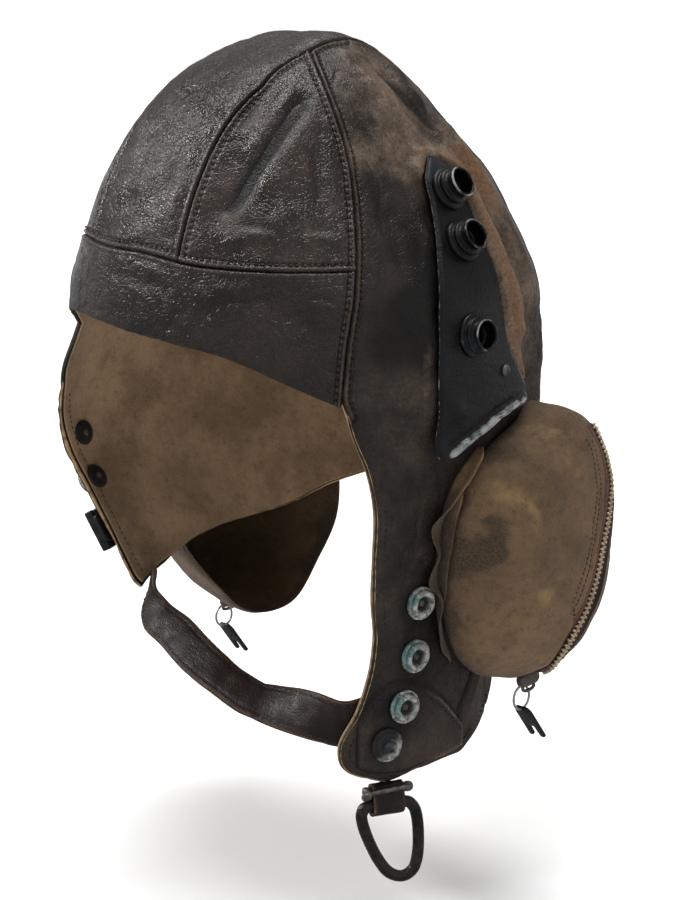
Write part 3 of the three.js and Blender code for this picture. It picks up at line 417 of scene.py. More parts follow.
def pillow(outer, inner, values=None, rounding=1.0, rims=(0.1, 0.55, 1, 1), ends=(0.3, 1)):
    # a closed sheet: outer grid, half round rims and inner grid as one ring per row, with three
    # more rows at each end that close the wall in a half round; "edge" is a share of its value
    # from the outer side of each rim to the inner one
    middle, half = (outer + inner) / 2, (outer - inner) / 2
    thick = np.linalg.norm(half, axis=-1, keepdims=True) * rounding
    turn = np.radians([60, 20, -20, -60])[None, :, None]

    def rim(column, beside, turns):
        out = unit(middle[:, column] - middle[:, beside])[:, None]
        return (middle[:, column, None] + half[:, column, None] * np.sin(turns)
                + out * thick[:, column, None] * np.cos(turns))

    def ringOf(a, right, b, left):
        return np.concatenate([a, right, b[:, ::-1], left], axis=1)

    rows = len(outer)
    ring = ringOf(outer, rim(-1, -2, turn), inner, rim(0, 1, -turn))
    core = ringOf(middle, np.repeat(middle[:, -1:], 4, 1), middle, np.repeat(middle[:, :1], 4, 1))
    wall = ringOf(thick, np.repeat(thick[:, -1:], 4, 1), thick, np.repeat(thick[:, :1], 4, 1))

    def cap(end, beside):
        out = unit(core[end] - core[beside])
        return [core[end] + (ring[end] - core[end]) * np.cos(np.radians(t))
                + out * wall[end] * np.sin(np.radians(t)) for t in (30, 60, 90)]

    stacked = np.concatenate([np.array(cap(0, 1))[::-1], ring, np.array(cap(-1, -2))])
    carried = {}
    for key, value in (values or {}).items():
        value = np.broadcast_to(value, outer.shape[:2])
        share = np.array(rims if key == "edge" else (1, 1, 1, 1))
        line = ringOf(value, value[:, -1:] * share, value, value[:, :1] * share[::-1])
        cover = np.full(line.shape[1], ends[1] if key == "edge" else 1.0)
        cover[:value.shape[1]] = ends[0] if key == "edge" else 1.0
        carried[key] = np.concatenate([np.repeat(line[:1] * cover, 3, 0), line,
                                       np.repeat(line[-1:] * cover, 3, 0)])
    count = ring.shape[1]
    return stacked, [gridFaces(rows + 6, count, roundColumns=True)], carried


def frameAt(side, angle, elev, lift):
    # a place on the leather with directions across, up and out
    at = skin(side * angle, elev, lift)
    out = faceNormal(np.asarray(side * angle, float), np.asarray(elev, float))
    across = unit(np.cross([0, 0, 1], out))
    return at, across, np.cross(out, across), out


def placed(points, place):
    # the place plus each point's three numbers times its three directions
    at, across, up, out = place
    points = np.asarray(points, float)
    return at + points[..., :1] * across + points[..., 1:2] * up + points[..., 2:] * out


def fitted(shape, place, **marks):
    # a shape's points and faces at a place, with the marks that it carries
    points, faces = shape
    return placed(points, place), faces, marks


def lathe(profile, segments=40):
    # a profile of radius and height turned round the out direction
    profile = np.array(profile, float)
    turn = np.arange(segments) / segments * 2 * np.pi
    grid = np.stack([profile[None, :, 0] * np.cos(turn)[:, None],
                     profile[None, :, 0] * np.sin(turn)[:, None],
                     np.broadcast_to(profile[:, 1], (segments, len(profile)))], -1)
    return grid, [gridFaces(segments, len(profile), roundRows=True)]


def tube(line, radius, sides=10, closed=False):
    # a ring of corners carried along a line; open ends close on a point
    line = np.asarray(line, float)
    if closed:
        along = unit(np.roll(line, -1, 0) - np.roll(line, 1, 0))
    else:
        along = unit(np.gradient(line, axis=0))
    side = unit(np.cross(along, [0.31, 0.2, 0.93]))
    other = np.cross(along, side)
    turn = np.arange(sides) / sides * 2 * np.pi
    radius = np.broadcast_to(np.asarray(radius, float), len(line))[:, None, None]
    ring = (line[:, None] + radius * np.cos(turn)[None, :, None] * side[:, None]
            + radius * np.sin(turn)[None, :, None] * other[:, None])
    if not closed:
        first, last = np.repeat(line[:1], sides, 0), np.repeat(line[-1:], sides, 0)
        ring = np.concatenate([first[None], ring, last[None]])
    return ring, [gridFaces(len(ring), sides, roundRows=closed, roundColumns=True)]


def stitches(line, normals, sizes, seed):
    # beads of thread: five rings of six corners over each stitch, sunk at both ends
    line, normals = resample(line, 0.5, normals)
    run = alongLine(line)
    count = max(1, int(run[-1] / sizes["pitch"]))
    draw = np.random.default_rng(seed)
    middle = (np.arange(count) + 0.5 + draw.uniform(-0.08, 0.08, count)) * run[-1] / count
    t = np.linspace(-1, 1, 5)
    at = middle[:, None] + t * sizes["length"] / 2 * draw.uniform(0.85, 1.1, (count, 1))
    centre = interpolate(run, line, at.ravel()).reshape(count, 5, 3)
    out = unit(interpolate(run, normals, at.ravel())).reshape(count, 5, 3)
    along = unit(centre[:, -1] - centre[:, 0])[:, None]
    side = np.cross(out, along)
    centre = centre + out * (sizes["lift"] * (1 - t ** 2) - sizes["sink"])[None, :, None]
    turn = np.arange(6) / 6 * 2 * np.pi
    radius = (sizes["radius"] * np.sqrt(1.05 - t ** 2))[None, :, None, None]
    ring = centre[:, :, None] + radius * (
        np.cos(turn)[:, None] * side[:, :, None] + np.sin(turn)[:, None] * out[:, :, None])
    return ring, beads(count, 5, 6)


# materials
class Value:
    # an output socket that takes part in arithmetic; every sign adds a Math node
    def __init__(self, shader, socket):
        self.shader, self.socket = shader, socket

    def __add__(self, other):
        return self.shader.math("ADD", self, other)

    def __sub__(self, other):
        return self.shader.math("SUBTRACT", self, other)

    def __mul__(self, other):
        return self.shader.math("MULTIPLY", self, other)

    def __rsub__(self, other):
        return self.shader.math("SUBTRACT", other, self)

    __radd__, __rmul__ = __add__, __mul__


class Shader:
    # a material whose nodes are added one by one; fixed inputs are given by name
    def __init__(self, name, **fixed):
        self.material = bpy.data.materials.new(name)
        self.material.use_nodes = True
        self.tree = self.material.node_tree
        self.surface = next(n for n in self.tree.nodes if n.type == "BSDF_PRINCIPLED")
        for key, value in fixed.items():
            self.surface.inputs[key.replace("_", " ")].default_value = value
        self.place = self.node("ShaderNodeTexCoord", {}, {}, "Object")

    def node(self, kind, settings, inputs, output=0):
        # a new node, set and fed, as the Value of one output
        made = self.tree.nodes.new(kind)
        for key, value in settings.items():
            setattr(made, key, value)
        self.feed(made, inputs)
        return Value(self, made.outputs[output])

    def feed(self, node, inputs):
        # values are linked, numbers and colors become the input's own
        for key, value in inputs.items():
            if isinstance(value, Value):
                self.tree.links.new(value.socket, node.inputs[key])
            elif value is not None:
                if isinstance(value, tuple) and node.inputs[key].type == "RGBA":
                    value = (*value, 1)
                node.inputs[key].default_value = value

    def math(self, operation, *numbers):
        # one Math node over the numbers
        return self.node("ShaderNodeMath", {"operation": operation}, dict(enumerate(numbers)))

    def noise(self, scale, detail=3.0, roughness=0.55):
        # clouds with about that many to the metre, from 0 to 1
        return self.node("ShaderNodeTexNoise", {}, {
            "Vector": self.place, "Scale": scale, "Detail": detail, "Roughness": roughness}, "Fac")

    def cells(self, scale, feature="F1", place=None):
        # distance to the nearest of scattered points, about that many to the metre
        return self.node("ShaderNodeTexVoronoi", {"feature": feature}, {
            "Vector": place or self.place, "Scale": scale}, "Distance")

    def attribute(self, name):
        # a number that the mesh carries at each point
        return self.node("ShaderNodeAttribute", {"attribute_name": name}, {}, "Fac")

    def span(self, value, low, high, first=0.0, last=1.0):
        # from first to last as the value goes from low to high, eased at both ends
        return self.node("ShaderNodeMapRange", {"interpolation_type": "SMOOTHSTEP"}, {
            "Value": value, "From Min": low, "From Max": high, "To Min": first, "To Max": last})

    def blend(self, share, a, b):
        # from color a to color b by a share
        return self.node("ShaderNodeMix", {"data_type": "RGBA", "clamp_factor": True},
                         {0: share, 6: a, 7: b}, 2)

    def finish(self, color, roughness, height=None, distance=0.0004):
        # color, roughness and a bump of that height in metres go into the surface
        self.feed(self.surface, {"Base Color": color, "Roughness": roughness})
        if height is not None:
            bump = self.node("ShaderNodeBump", {}, {
                "Height": height, "Distance": distance, "Strength": 1.0})
            self.feed(self.surface, {"Normal": bump})
        return self.material


def leatherFinish(name, look):
    # pores between small grains over wandering creases; worn ridges, dark seam grooves, painted shade
    # in the fold valleys, pale raw edges
    s = Shader(name, Specular_IOR_Level=look["specular"])
    wide, patch = s.noise(look["wide"], 4, 0.6), s.noise(look["patch"], 5, 0.65)
    speck = s.noise(700, 3, 0.7)
    tone = s.attribute("tone")
    color = s.blend(s.span(wide, 0.35, 0.66), look["dark"], look["middle"])
    # a high tone, as on the side panels' tops where it is painted sheen, turns the colour light and
    # warm
    color = s.blend(s.span(patch * 0.75 + tone * 0.5, 0.42, 0.8), color, look["light"])
    color = s.blend(s.span(tone, 0.56, 1.0) * s.span(patch, 0.3, 0.6, 0.6, 1), color, look["warm"])
    color = s.blend(s.span(tone * -1, 0.05, 0.8), color, look["black"])
    worn = s.attribute("wear") * s.span(s.noise(420, 4, 0.7), 0.35, 0.65, 0.25, 1)
    color = s.blend(worn, color, look["worn"])
    row = s.math("ABSOLUTE", s.attribute("row") - 10.0)
    turn = s.math("COSINE", s.attribute("stitch") * 6.2832)
    hole = s.span(row, 0.3, 0.65, 1, 0) * s.span(turn, 0.35, 0.85)
    pull = s.span(row, 0.3, 1.5, 1, 0) * s.span(turn, -1, 1)
    color = s.blend(s.span(row, 0.2, 1.3, 0.35, 0), color, look["black"])
    color = s.blend(hole * 0.95, color, look["black"])
    # the groove mark: dark seam joints, the dark line above the flap patch, and painted shade in the
    # fold valleys
    color = s.blend(s.attribute("groove"), color, look["black"])
    color = s.blend(s.span(speck, 0.3, 0.7, 0, look["speck"]), color, look["black"])
    color = s.blend(s.span(s.attribute("edge"), 0.35, 0.75), color, look["raw"])
    grain = s.cells(look["grain"])
    fine = s.noise(look["grain"] * 0.7, 3, 0.6)
    creases = s.cells(look["creases"], "DISTANCE_TO_EDGE",
                      s.node("ShaderNodeMix", {"data_type": "VECTOR"}, {
                          0: 0.012, 4: s.place, 5: s.node("ShaderNodeTexNoise", {}, {
                              "Vector": s.place, "Scale": 90.0, "Detail": 3.0}, "Color")}, 1))
    height = s.span(creases, 0, 0.2) * look["creaseDepth"] - grain * 0.32 + fine * 0.2
    height = height + patch * 1.6 + s.noise(230, 3, 0.55) * look["dents"] - pull * 0.7 - hole * 0.6
    gloss = s.span(patch, 0.36, 0.66, look["gloss"][0], look["gloss"][1])
    gloss = gloss + fine * 0.05 + s.attribute("edge") * 0.3 + s.attribute("groove") * 0.3
    return s.finish(color, gloss, height, look["bump"])


crownLeather = leatherFinish("crownLeather", dict(
    dark=(0.0115, 0.009, 0.0075), middle=(0.034, 0.022, 0.017), light=(0.07, 0.044, 0.032),
    warm=(0.075, 0.042, 0.026), black=(0.004, 0.0035, 0.0032), worn=(0.15, 0.105, 0.075),
    raw=(0.045, 0.028, 0.018), wide=26.0, patch=70.0, grain=1500.0, creases=480.0,
    creaseDepth=0.26, gloss=(0.15, 0.4), bump=0.00046, speck=0.5, specular=0.42, dents=0.6))
sideLeather = leatherFinish("sideLeather", dict(
    dark=(0.016, 0.012, 0.009), middle=(0.052, 0.036, 0.026), light=(0.185, 0.136, 0.1),
    warm=(0.17, 0.082, 0.036), black=(0.006, 0.0052, 0.0047), worn=(0.2, 0.125, 0.07),
    raw=(0.42, 0.27, 0.13), wide=26.0, patch=75.0, grain=1400.0, creases=460.0,
    creaseDepth=0.2, gloss=(0.27, 0.46), bump=0.0004, speck=0.5, specular=0.25, dents=0.4))
strapLeather = leatherFinish("strapLeather", dict(
    dark=(0.011, 0.0075, 0.006), middle=(0.024, 0.014, 0.0105), light=(0.04, 0.023, 0.016),
    warm=(0.06, 0.03, 0.018), black=(0.005, 0.004, 0.0035), worn=(0.13, 0.075, 0.042),
    raw=(0.16, 0.09, 0.045), wide=40.0, patch=120.0, grain=1500.0, creases=480.0,
    creaseDepth=0.14, gloss=(0.34, 0.54), bump=0.0003, speck=0.3, specular=0.2, dents=0.3))


def softFinish(name, look):
    # brushed hide or cloth: a fine nap over cloudy patches, with golden rubs and dark blots; the blot
    # colour also lays painted shade
    s = Shader(name, Specular_IOR_Level=0.18, Sheen_Weight=look["sheen"], Sheen_Roughness=0.5)
    wide, patch = s.noise(look["wide"], 4, 0.62), s.noise(look["patch"], 5, 0.7)
    nap = s.noise(1500, 4, 0.75)
    tone = s.attribute("tone")
    color = s.blend(s.span(wide, 0.34, 0.66), look["dark"], look["middle"])
    color = s.blend(s.span(patch * 0.6 + tone * 0.7, 0.45, 0.9), color, look["light"])
    # a low tone darkens towards the blot colour: real blots, and painted shade at the pocket's foot and
    # down the seam welts
    color = s.blend(s.span(tone * -1 + patch * 0.5, 0.35, 0.95), color, look["blot"])
    color = s.blend(s.span(s.noise(260, 6, 0.8), 0.47, 0.72, 0, look["speck"]), color, look["blot"])
    color = s.blend(s.span(nap, 0.3, 0.75, 0, 0.3), color, look["light"])
    # the groove mark: painted shade under the zip tape and at the welts' foot, and one side of the zip
    # tape darker
    color = s.blend(s.attribute("groove"), color, look["blot"])
    color = s.blend(s.span(s.attribute("wear"), 0.2, 1.0), color, look["rub"])
    color = s.blend(s.span(s.attribute("edge"), 0.35, 0.75), color, look["raw"])
    height = nap + s.noise(420, 3, 0.6) * 1.2 + s.cells(170) * -0.5
    rough = s.span(patch, 0.3, 0.7, look["rough"][0], look["rough"][1])
    return s.finish(color, rough, height, look["bump"])


suede = softFinish("suede", dict(
    dark=(0.068, 0.043, 0.027), middle=(0.125, 0.078, 0.043), light=(0.24, 0.155, 0.07),
    blot=(0.024, 0.018, 0.014), rub=(0.26, 0.16, 0.075), raw=(0.2, 0.125, 0.07),
    wide=32.0, patch=110.0, speck=0.75, sheen=0.06, rough=(0.72, 0.9), bump=0.00032))
chamois = softFinish("chamois", dict(
    dark=(0.16, 0.102, 0.058), middle=(0.29, 0.195, 0.112), light=(0.42, 0.3, 0.175),
    blot=(0.04, 0.022, 0.012), rub=(0.36, 0.24, 0.12), raw=(0.45, 0.31, 0.17),
    wide=38.0, patch=120.0, speck=0.55, sheen=0.1, rough=(0.8, 0.95), bump=0.0003))
zipTape = softFinish("zipTape", dict(
    dark=(0.045, 0.014, 0.012), middle=(0.075, 0.022, 0.018), light=(0.12, 0.045, 0.034),
    blot=(0.012, 0.007, 0.0065), rub=(0.16, 0.09, 0.06), raw=(0.14, 0.07, 0.05),
    wide=60.0, patch=200.0, speck=0.3, sheen=0.1, rough=(0.75, 0.9), bump=0.0002))


def threadFinish(name, color, shade):
    # twisted thread: slanted bands of shade
    s = Shader(name, Specular_IOR_Level=0.3)
    bands = s.node("ShaderNodeTexWave", {}, {
        "Vector": s.place, "Scale": 900.0, "Distortion": 2.0, "Detail": 1.0}, "Fac")
    mixed = s.blend(s.span(s.noise(300), 0.35, 0.65), shade, color)
    return s.finish(mixed, s.span(bands, 0, 1, 0.55, 0.75), bands, 0.0001)


redThread = threadFinish("redThread", (0.1, 0.055, 0.036), (0.03, 0.018, 0.014))
paleThread = threadFinish("paleThread", (0.12, 0.07, 0.035), (0.05, 0.03, 0.018))
brownThread = threadFinish("brownThread", (0.045, 0.026, 0.018), (0.018, 0.012, 0.009))


def hardFinish(name, look):
    # paint, plastic or old metal: worn edges, dust and corrosion by place; on the black plate the bloom
    # colour is a painted sheen, strongest at its top, and some pale edges of the plate and its sockets
    # are painted highlights
    s = Shader(name, Specular_IOR_Level=look.get("specular", 0.5))
    wide, fine = s.noise(look["wide"], 5, 0.65), s.noise(look["fine"], 4, 0.7)
    color = s.blend(s.span(wide, 0.35, 0.65), look["base"], look["second"])
    bloom = s.span(s.noise(look["bloomSize"], 5, 0.7) + s.attribute("tone") * 0.25, 0.5, 0.68)
    color = s.blend(bloom * look["bloomShare"], color, look["bloom"])
    if "scab" in look:
        scab = s.span(s.noise(look["scabSize"], 5, 0.8), 0.5, 0.6, 0, 0.9)
        color = s.blend(scab, color, look["scab"])
    color = s.blend(s.span(s.attribute("edge") + fine * 0.5, 0.55, 0.95), color, look["edge"])
    # the groove mark: painted shade in the socket bores and stud hollows, and the rivet's dark spot
    color = s.blend(s.attribute("groove"), color, look["deep"])
    rough = s.span(wide * 0.5 + fine * 0.5, 0.3, 0.7, look["rough"][0], look["rough"][1])
    rough = rough + bloom * look.get("bloomRough", 0.2)
    metal = 1 - bloom * look["bloomShare"]
    s.feed(s.surface, {"Metallic": metal * look["metal"] if look["metal"] else 0.0})
    return s.finish(color, rough, fine + wide, look["bump"])


# its bloom colour is a bluish painted sheen, laid over the plate's top by the plate's tone
blackPlate = hardFinish("blackPlate", dict(
    base=(0.003, 0.0031, 0.0034), second=(0.0065, 0.0068, 0.0072), bloom=(0.03, 0.033, 0.04),
    bloomShare=0.5, bloomSize=60.0, edge=(0.3, 0.31, 0.31), deep=(0.001, 0.001, 0.001),
    wide=45.0, fine=500.0, metal=0.0, rough=(0.2, 0.4), bump=0.0003, specular=0.24))
oldSteel = hardFinish("oldSteel", dict(
    base=(0.17, 0.175, 0.165), second=(0.42, 0.42, 0.39), bloom=(0.05, 0.17, 0.165),
    bloomShare=0.8, bloomSize=260.0, edge=(0.55, 0.54, 0.5), deep=(0.012, 0.013, 0.012),
    wide=420.0, fine=1000.0, metal=0.25, rough=(0.4, 0.65), bump=0.00045,
    scab=(0.045, 0.04, 0.035), scabSize=520.0))
plainSteel = hardFinish("plainSteel", dict(
    base=(0.1, 0.095, 0.085), second=(0.2, 0.19, 0.17), bloom=(0.05, 0.032, 0.022),
    bloomShare=0.8, bloomSize=300.0, edge=(0.5, 0.48, 0.44), deep=(0.02, 0.018, 0.016),
    wide=300.0, fine=900.0, metal=0.8, rough=(0.3, 0.5), bump=0.00025))
brightSteel = hardFinish("brightSteel", dict(
    base=(0.45, 0.45, 0.43), second=(0.6, 0.6, 0.57), bloom=(0.12, 0.1, 0.08),
    bloomShare=0.5, bloomSize=400.0, edge=(0.7, 0.7, 0.66), deep=(0.03, 0.03, 0.028),
    wide=300.0, fine=900.0, metal=0.9, rough=(0.25, 0.4), bump=0.0001))
bronze = hardFinish("bronze", dict(
    base=(0.006, 0.005, 0.0044), second=(0.015, 0.0115, 0.009), bloom=(0.045, 0.032, 0.022),
    bloomShare=0.35, bloomSize=180.0, edge=(0.13, 0.1, 0.075), deep=(0.006, 0.005, 0.004),
    wide=120.0, fine=800.0, metal=0.35, rough=(0.2, 0.38), bump=0.0003))
zipBrass = hardFinish("zipBrass", dict(
    base=(0.4, 0.3, 0.19), second=(0.6, 0.5, 0.34), bloom=(0.2, 0.09, 0.06),
    bloomShare=0.5, bloomSize=250.0, edge=(0.75, 0.6, 0.45), deep=(0.05, 0.03, 0.02),
    wide=400.0, fine=1200.0, metal=0.6, rough=(0.3, 0.45), bump=0.0001))
blackPlastic = hardFinish("blackPlastic", dict(
    base=(0.006, 0.006, 0.0065), second=(0.012, 0.0115, 0.0115), bloom=(0.04, 0.032, 0.026),
    bloomShare=0.35, bloomSize=200.0, edge=(0.06, 0.055, 0.05), deep=(0.002, 0.002, 0.002),
    wide=150.0, fine=700.0, metal=0.0, rough=(0.3, 0.46), bump=0.00015, specular=0.3))
stage("materials")


# leather panels
seamShape = dict(groove=1.0, grooveWidth=0.36, lip=0.42, lipAt=1.15, lipWidth=0.65,
                 row=2.7, dip=0.25, pucker=0.07, pitch=2.6, gatherReach=4)
lapShape = dict(seamShape, grooveWidth=0.4, lip=0.75, lipAt=1.0, lipWidth=0.7, row=0, dip=0)
plainShape = dict(seamShape, row=0, dip=0)
threads = dict(pitch=2.6, length=1.75, radius=0.3, lift=0.22, sink=0.16)
stripPanel = dict(rows=250, columns=56, reach=(20, 220), lastRoll=222)
gorePanel, bandPanel = (96, 76), (48, 230)  # rows and columns of their grids
sidePanel = {"left": (210, 146), "right": (150, 96)}
threadRows = dict(seam=2.7, flap=3.8, patch=2.0)  # millimetres from seam or edge to stitches


def goreSeamAngle(elev):
    # the angle of the seam between gore and side at an elevation
    return tableValue(goreSeam, "elev", "angle", elev)


def trimmed(gap):
    # half the seam gap as an angle at the forehead
    return np.degrees(gap / 2 / head["frontReach"])


def stripPlaces(rows, columns, inset=0.0):
    # lines at constant distance from the middle plane, rolling from the brow seam over the crown
    edge = leather["stripHalf"] - leather["seamGap"] / 2 - inset
    x = (shares(columns, 0.6) * 2 - 1) * edge
    seamAngle = np.degrees(np.arcsin(x / head["frontReach"]))
    seam = tableValue(bandSeam, "angle", "elev", seamAngle) + trimmed(leather["seamGap"])
    first = np.degrees(np.arctan(np.tan(np.radians(seam)) / np.cos(np.radians(seamAngle))))
    roll = np.radians(mix(first[None], stripPanel["lastRoll"], shares(rows, 0.3)[:, None]))
    x = np.broadcast_to(x, roll.shape)

    def at(reach):
        return polar(np.stack([x, -reach * np.cos(roll), reach * np.sin(roll)], -1))

    def inside(reach):
        angle, elev, length = at(reach)
        return length < headRadius(angle, elev)

    low, high = (np.full(roll.shape, float(v)) for v in stripPanel["reach"])
    return at(bisect(low, high, inside))[:2]


meeting = float(bisect(np.array(60.0), np.array(75.0), lambda e: stripEdgeAngle(
    e, 1, False, leather["stripHalf"]) < goreSeamAngle(e)))  # where gore, strip and side meet


def gorePlaces(side, rows, columns, inset=0.0):
    # between strip and side seam; each row keeps its share of the way from brow seam to the top
    gap = leather["seamGap"] / 2 + inset
    share, column = shares(rows, 0.6)[:, None], shares(columns, 0.68)[None]
    elev = mix(12.0, meeting, share) + 0 * column
    for _ in range(4):
        first = stripEdgeAngle(elev, side, False, leather["stripHalf"] + gap)
        last = goreSeamAngle(elev)
        last = np.maximum(last - np.degrees(gap / (85 * np.cos(np.radians(elev)))), first)
        angle = side * mix(first, last, column)
        foot = tableValue(bandSeam, "angle", "elev", angle) + trimmed(leather["seamGap"])
        elev = mix(foot, meeting - 0.1, share)
    return angle, elev


def bandPlaces(rows, columns, inset=0.0):
    # from temple to temple between the brow seam and the face opening
    column = shares(columns, 0.5)[None] * 2 - 1
    share = shares(rows, 0.4)[:, None]
    angle, elev = column * goreSeamAngle(0) + 0 * share, 0 * column + 0 * share
    for _ in range(4):
        seam = tableValue(bandSeam, "angle", "elev", angle) - trimmed(leather["seamGap"])
        rim = tableValue(browRim, "angle", "elev", angle) + np.degrees(inset / 95)
        elev = mix(rim, seam, share)
        angle = column * (goreSeamAngle(elev) - np.degrees(leather["seamGap"] / 2 / 85))
    return angle, elev


def sidePlaces(side, word, rows, columns, inset=0.0):
    # rows of constant elevation from the gore seam or the flap's front edge round to the rear
    edges = flapEdges[word]
    strip = leather["stripHalf"] + leather["seamGap"] / 2
    top = float(bisect(np.array(60.0), np.array(85.0), lambda e: np.abs(
        facePoint(np.array(90.0), e)[..., 0]) > strip + 0.1))
    tip = edges["elev"][0] + np.degrees(inset / 220)
    dense = np.linspace(top, tip, 400)
    run = alongLine(facePoint(np.full(400, side * 85.0), dense))
    elev = np.interp(shares(rows, 0.35) * run[-1], run, dense)
    gap = np.degrees((leather["seamGap"] / 2 + 0.01) / (85 * np.cos(np.radians(elev))))
    seam = np.maximum(goreSeamAngle(elev) + gap, stripEdgeAngle(elev, side, False, strip))
    flap = tableValue(edges, "elev", "front", elev)
    reach = headRadius(side * 80.0, elev) * np.cos(np.radians(elev))
    flap = flap + np.degrees(inset / reach)
    onFlap = ramp(elev, -18, -23)
    first = mix(seam, flap, onFlap * onFlap * (3 - 2 * onFlap))
    behind = stripEdgeAngle(elev, side, True, strip)
    rear = tableValue(edges, "elev", "rear", elev)
    hem = float(stripEdgeAngle(leather["hem"], side, True, strip))
    rear = np.where(elev > leather["hem"], behind, np.minimum(rear, hem))
    rear = rear - np.where(elev > leather["hem"], 0, np.degrees(inset / reach))
    angle = side * mix(first[:, None], rear[:, None], shares(columns, 0.62)[None])
    return angle, elev[:, None] + 0 * angle


def seamRelief(points, line, shape, seed):
    # a tuck along the line, a lip beside it, a dip at the stitches and small gathers
    away, run = nearest(points, line)
    lip = shape["lip"] * bell(away - shape["lipAt"], shape["lipWidth"])
    tuck = shape["groove"] * bell(away, shape["grooveWidth"])
    dip = shape["dip"] * bell(away - shape["row"], 0.6)
    wander = lattice(np.stack([run, away * 0.3, 0 * run], -1), 4.2, seed)
    fade = bell(away, shape["gatherReach"])
    return lip - tuck - dip + shape["pucker"] * 2 * wander * fade, away, run


def foldLines(face, folds):
    # over (depth, width, ways): depth times a bell of the distance to a line through the ways
    relief = np.zeros(face.shape[:-1])
    for depth, width, ways in folds:
        ways = np.array(ways, float)
        line = smoothLine(ways, 12 * len(ways))
        line = evenly(facePoint(line[:, 0], line[:, 1]), 1.0)
        away, run = nearest(face, line)
        ends = np.clip(np.minimum(run, run.max() - run) / (0.2 * run.max()), 0, 1) ** 0.5
        relief += depth * ends * bell(away, width)
    return relief


def rowAt(elev, level):
    # the row of a grid of places that lies nearest to a level
    return int(np.argmin(np.abs(elev[:, 0] - level)))


def leatherPanel(name, places, edges, look, material, replaced, values=None, extra=None):
    # the face moved out by wrinkles, seams and creases, and the wall's thickness behind it
    angle, elev = places
    face, out = faceAndNormal(angle, elev)
    soft = rough(face, look["softSize"], look["seed"], 3) * look["soft"]
    lines = np.abs(rough(face + 3 * rough(face, 18, 5, 1)[..., None], look["wrinkleSize"],
                         look["seed"] + 9, 3, look.get("stretch", (1, 1, 1))))
    relief = soft - look["wrinkle"] * bell(lines, 0.13)
    relief = relief + rough(face, 5, look["seed"] + 20, 2) * look["pebble"]
    folds = foldLines(face, look["folds"])
    relief = relief + folds
    groove, edge, wear = (np.zeros(angle.shape) for _ in range(3))
    row, stitch, closest = (np.full(angle.shape, value) for value in (0.0, 0.0, 1e6))
    for kind, line, shape in edges:
        if kind == "free":
            away, _ = nearest(face, line)
            edge = np.maximum(edge, shape * bell(away, 0.3))
            relief = relief - 0.25 * bell(away, 1.2)
            continue
        push, away, run = seamRelief(face, line, shape, look["seed"] + 40)
        relief = relief * (1 - 0.8 * bell(away, 3)) + push
        groove = np.maximum(groove, bell(away, 0.26))
        wear = np.maximum(wear, look["seamWear"] * bell(away - 1.2, 0.6))
        if shape["row"]:
            count = max(1, int(run.max() / shape["pitch"]))
            nearer = away < closest
            closest = np.where(nearer, away, closest)
            row = np.where(nearer, 10 + away - shape["row"], row)
            stitch = np.where(nearer, run / alongLine(line)[-1] * count, stitch)
    if extra is not None:
        relief = relief + extra(face, angle, elev)
    wear = np.maximum(wear, np.clip((relief - look["wearFrom"]) / 1.2, 0, 0.7))
    # painted shade: the deeper a fold's valley, the darker its colour
    groove = np.maximum(groove, np.clip(-folds / 1.5, 0, 0.9))
    given = dict(groove=groove, edge=edge, wear=wear, row=row, stitch=stitch)
    given["tone"] = look.get("tone", 0.0) + 0 * wear
    for key, value in (values or {}).items():
        least = given[key] if key in ("wear", "groove") else -9  # a tone replaces the plain one
        given[key] = np.maximum(least, value(face, angle, elev))
    outer = face + out * relief[..., None]
    inner = face - out * leather["wall"]
    return makeObject(name, [pillow(outer, inner, given)], material, replaced)


def border(places, part):
    # one border of a grid of places as a dense line on the leather
    angle, elev = (grid[part] for grid in places)
    return evenly(facePoint(angle, elev))


def inside(line, amount, towards):
    # a line on the leather moved sideways over its surface, towards a point
    angle, elev, _ = polar(line)
    out = faceNormal(angle, elev)
    sideways = unit(np.cross(out, unit(np.gradient(line, axis=0))))
    sign = np.sign(((np.asarray(towards) - line) * sideways).sum(-1, keepdims=True))
    angle, elev, _ = polar(line + sideways * sign * np.asarray(amount)[..., None])
    return angle, elev


def seamThread(line, amount, towards, seed, lift=0.05):
    # stitches along a line that is moved towards a point by an amount
    angle, elev = inside(line, amount, towards)
    return stitches(skin(angle, elev, lift), faceNormal(angle, elev), threads, seed)


# folds are (depth, width, ways) in millimetres, the ways being angles and elevations on the head
stripFolds = [
    (0.9, 5, [(2.6, 43), (0.6, 37), (0.2, 31), (0.9, 25), (1.1, 21)]),
    (-0.6, 4.5, [(9.5, 41), (9.3, 34), (8.2, 28), (7, 22)]),
    (0.7, 3.5, [(12.7, 29), (12.3, 24), (12.2, 17)]), (0.6, 5, [(20, 60), (21, 52), (20.8, 46)]),
    (-0.7, 1.1, [(-15, 27.5), (-11.7, 30), (-4.6, 32.2)]), (0.5, 4, [(-14, 46), (-9, 38), (-8, 30)]),
    (-0.45, 3.5, [(-3.7, 27), (-2.4, 21)]), (0.5, 5, [(27, 66), (24, 60)]),
    (0.5, 6, [(-16, 70), (-10, 60), (0, 54)]), (0.6, 4, [(-17, 33), (-16, 25), (-13, 19)]),
    (0.7, 7, [(150, 60), (170, 54), (190, 50)]), (-0.5, 5, [(165, 30), (180, 24), (196, 27)])]
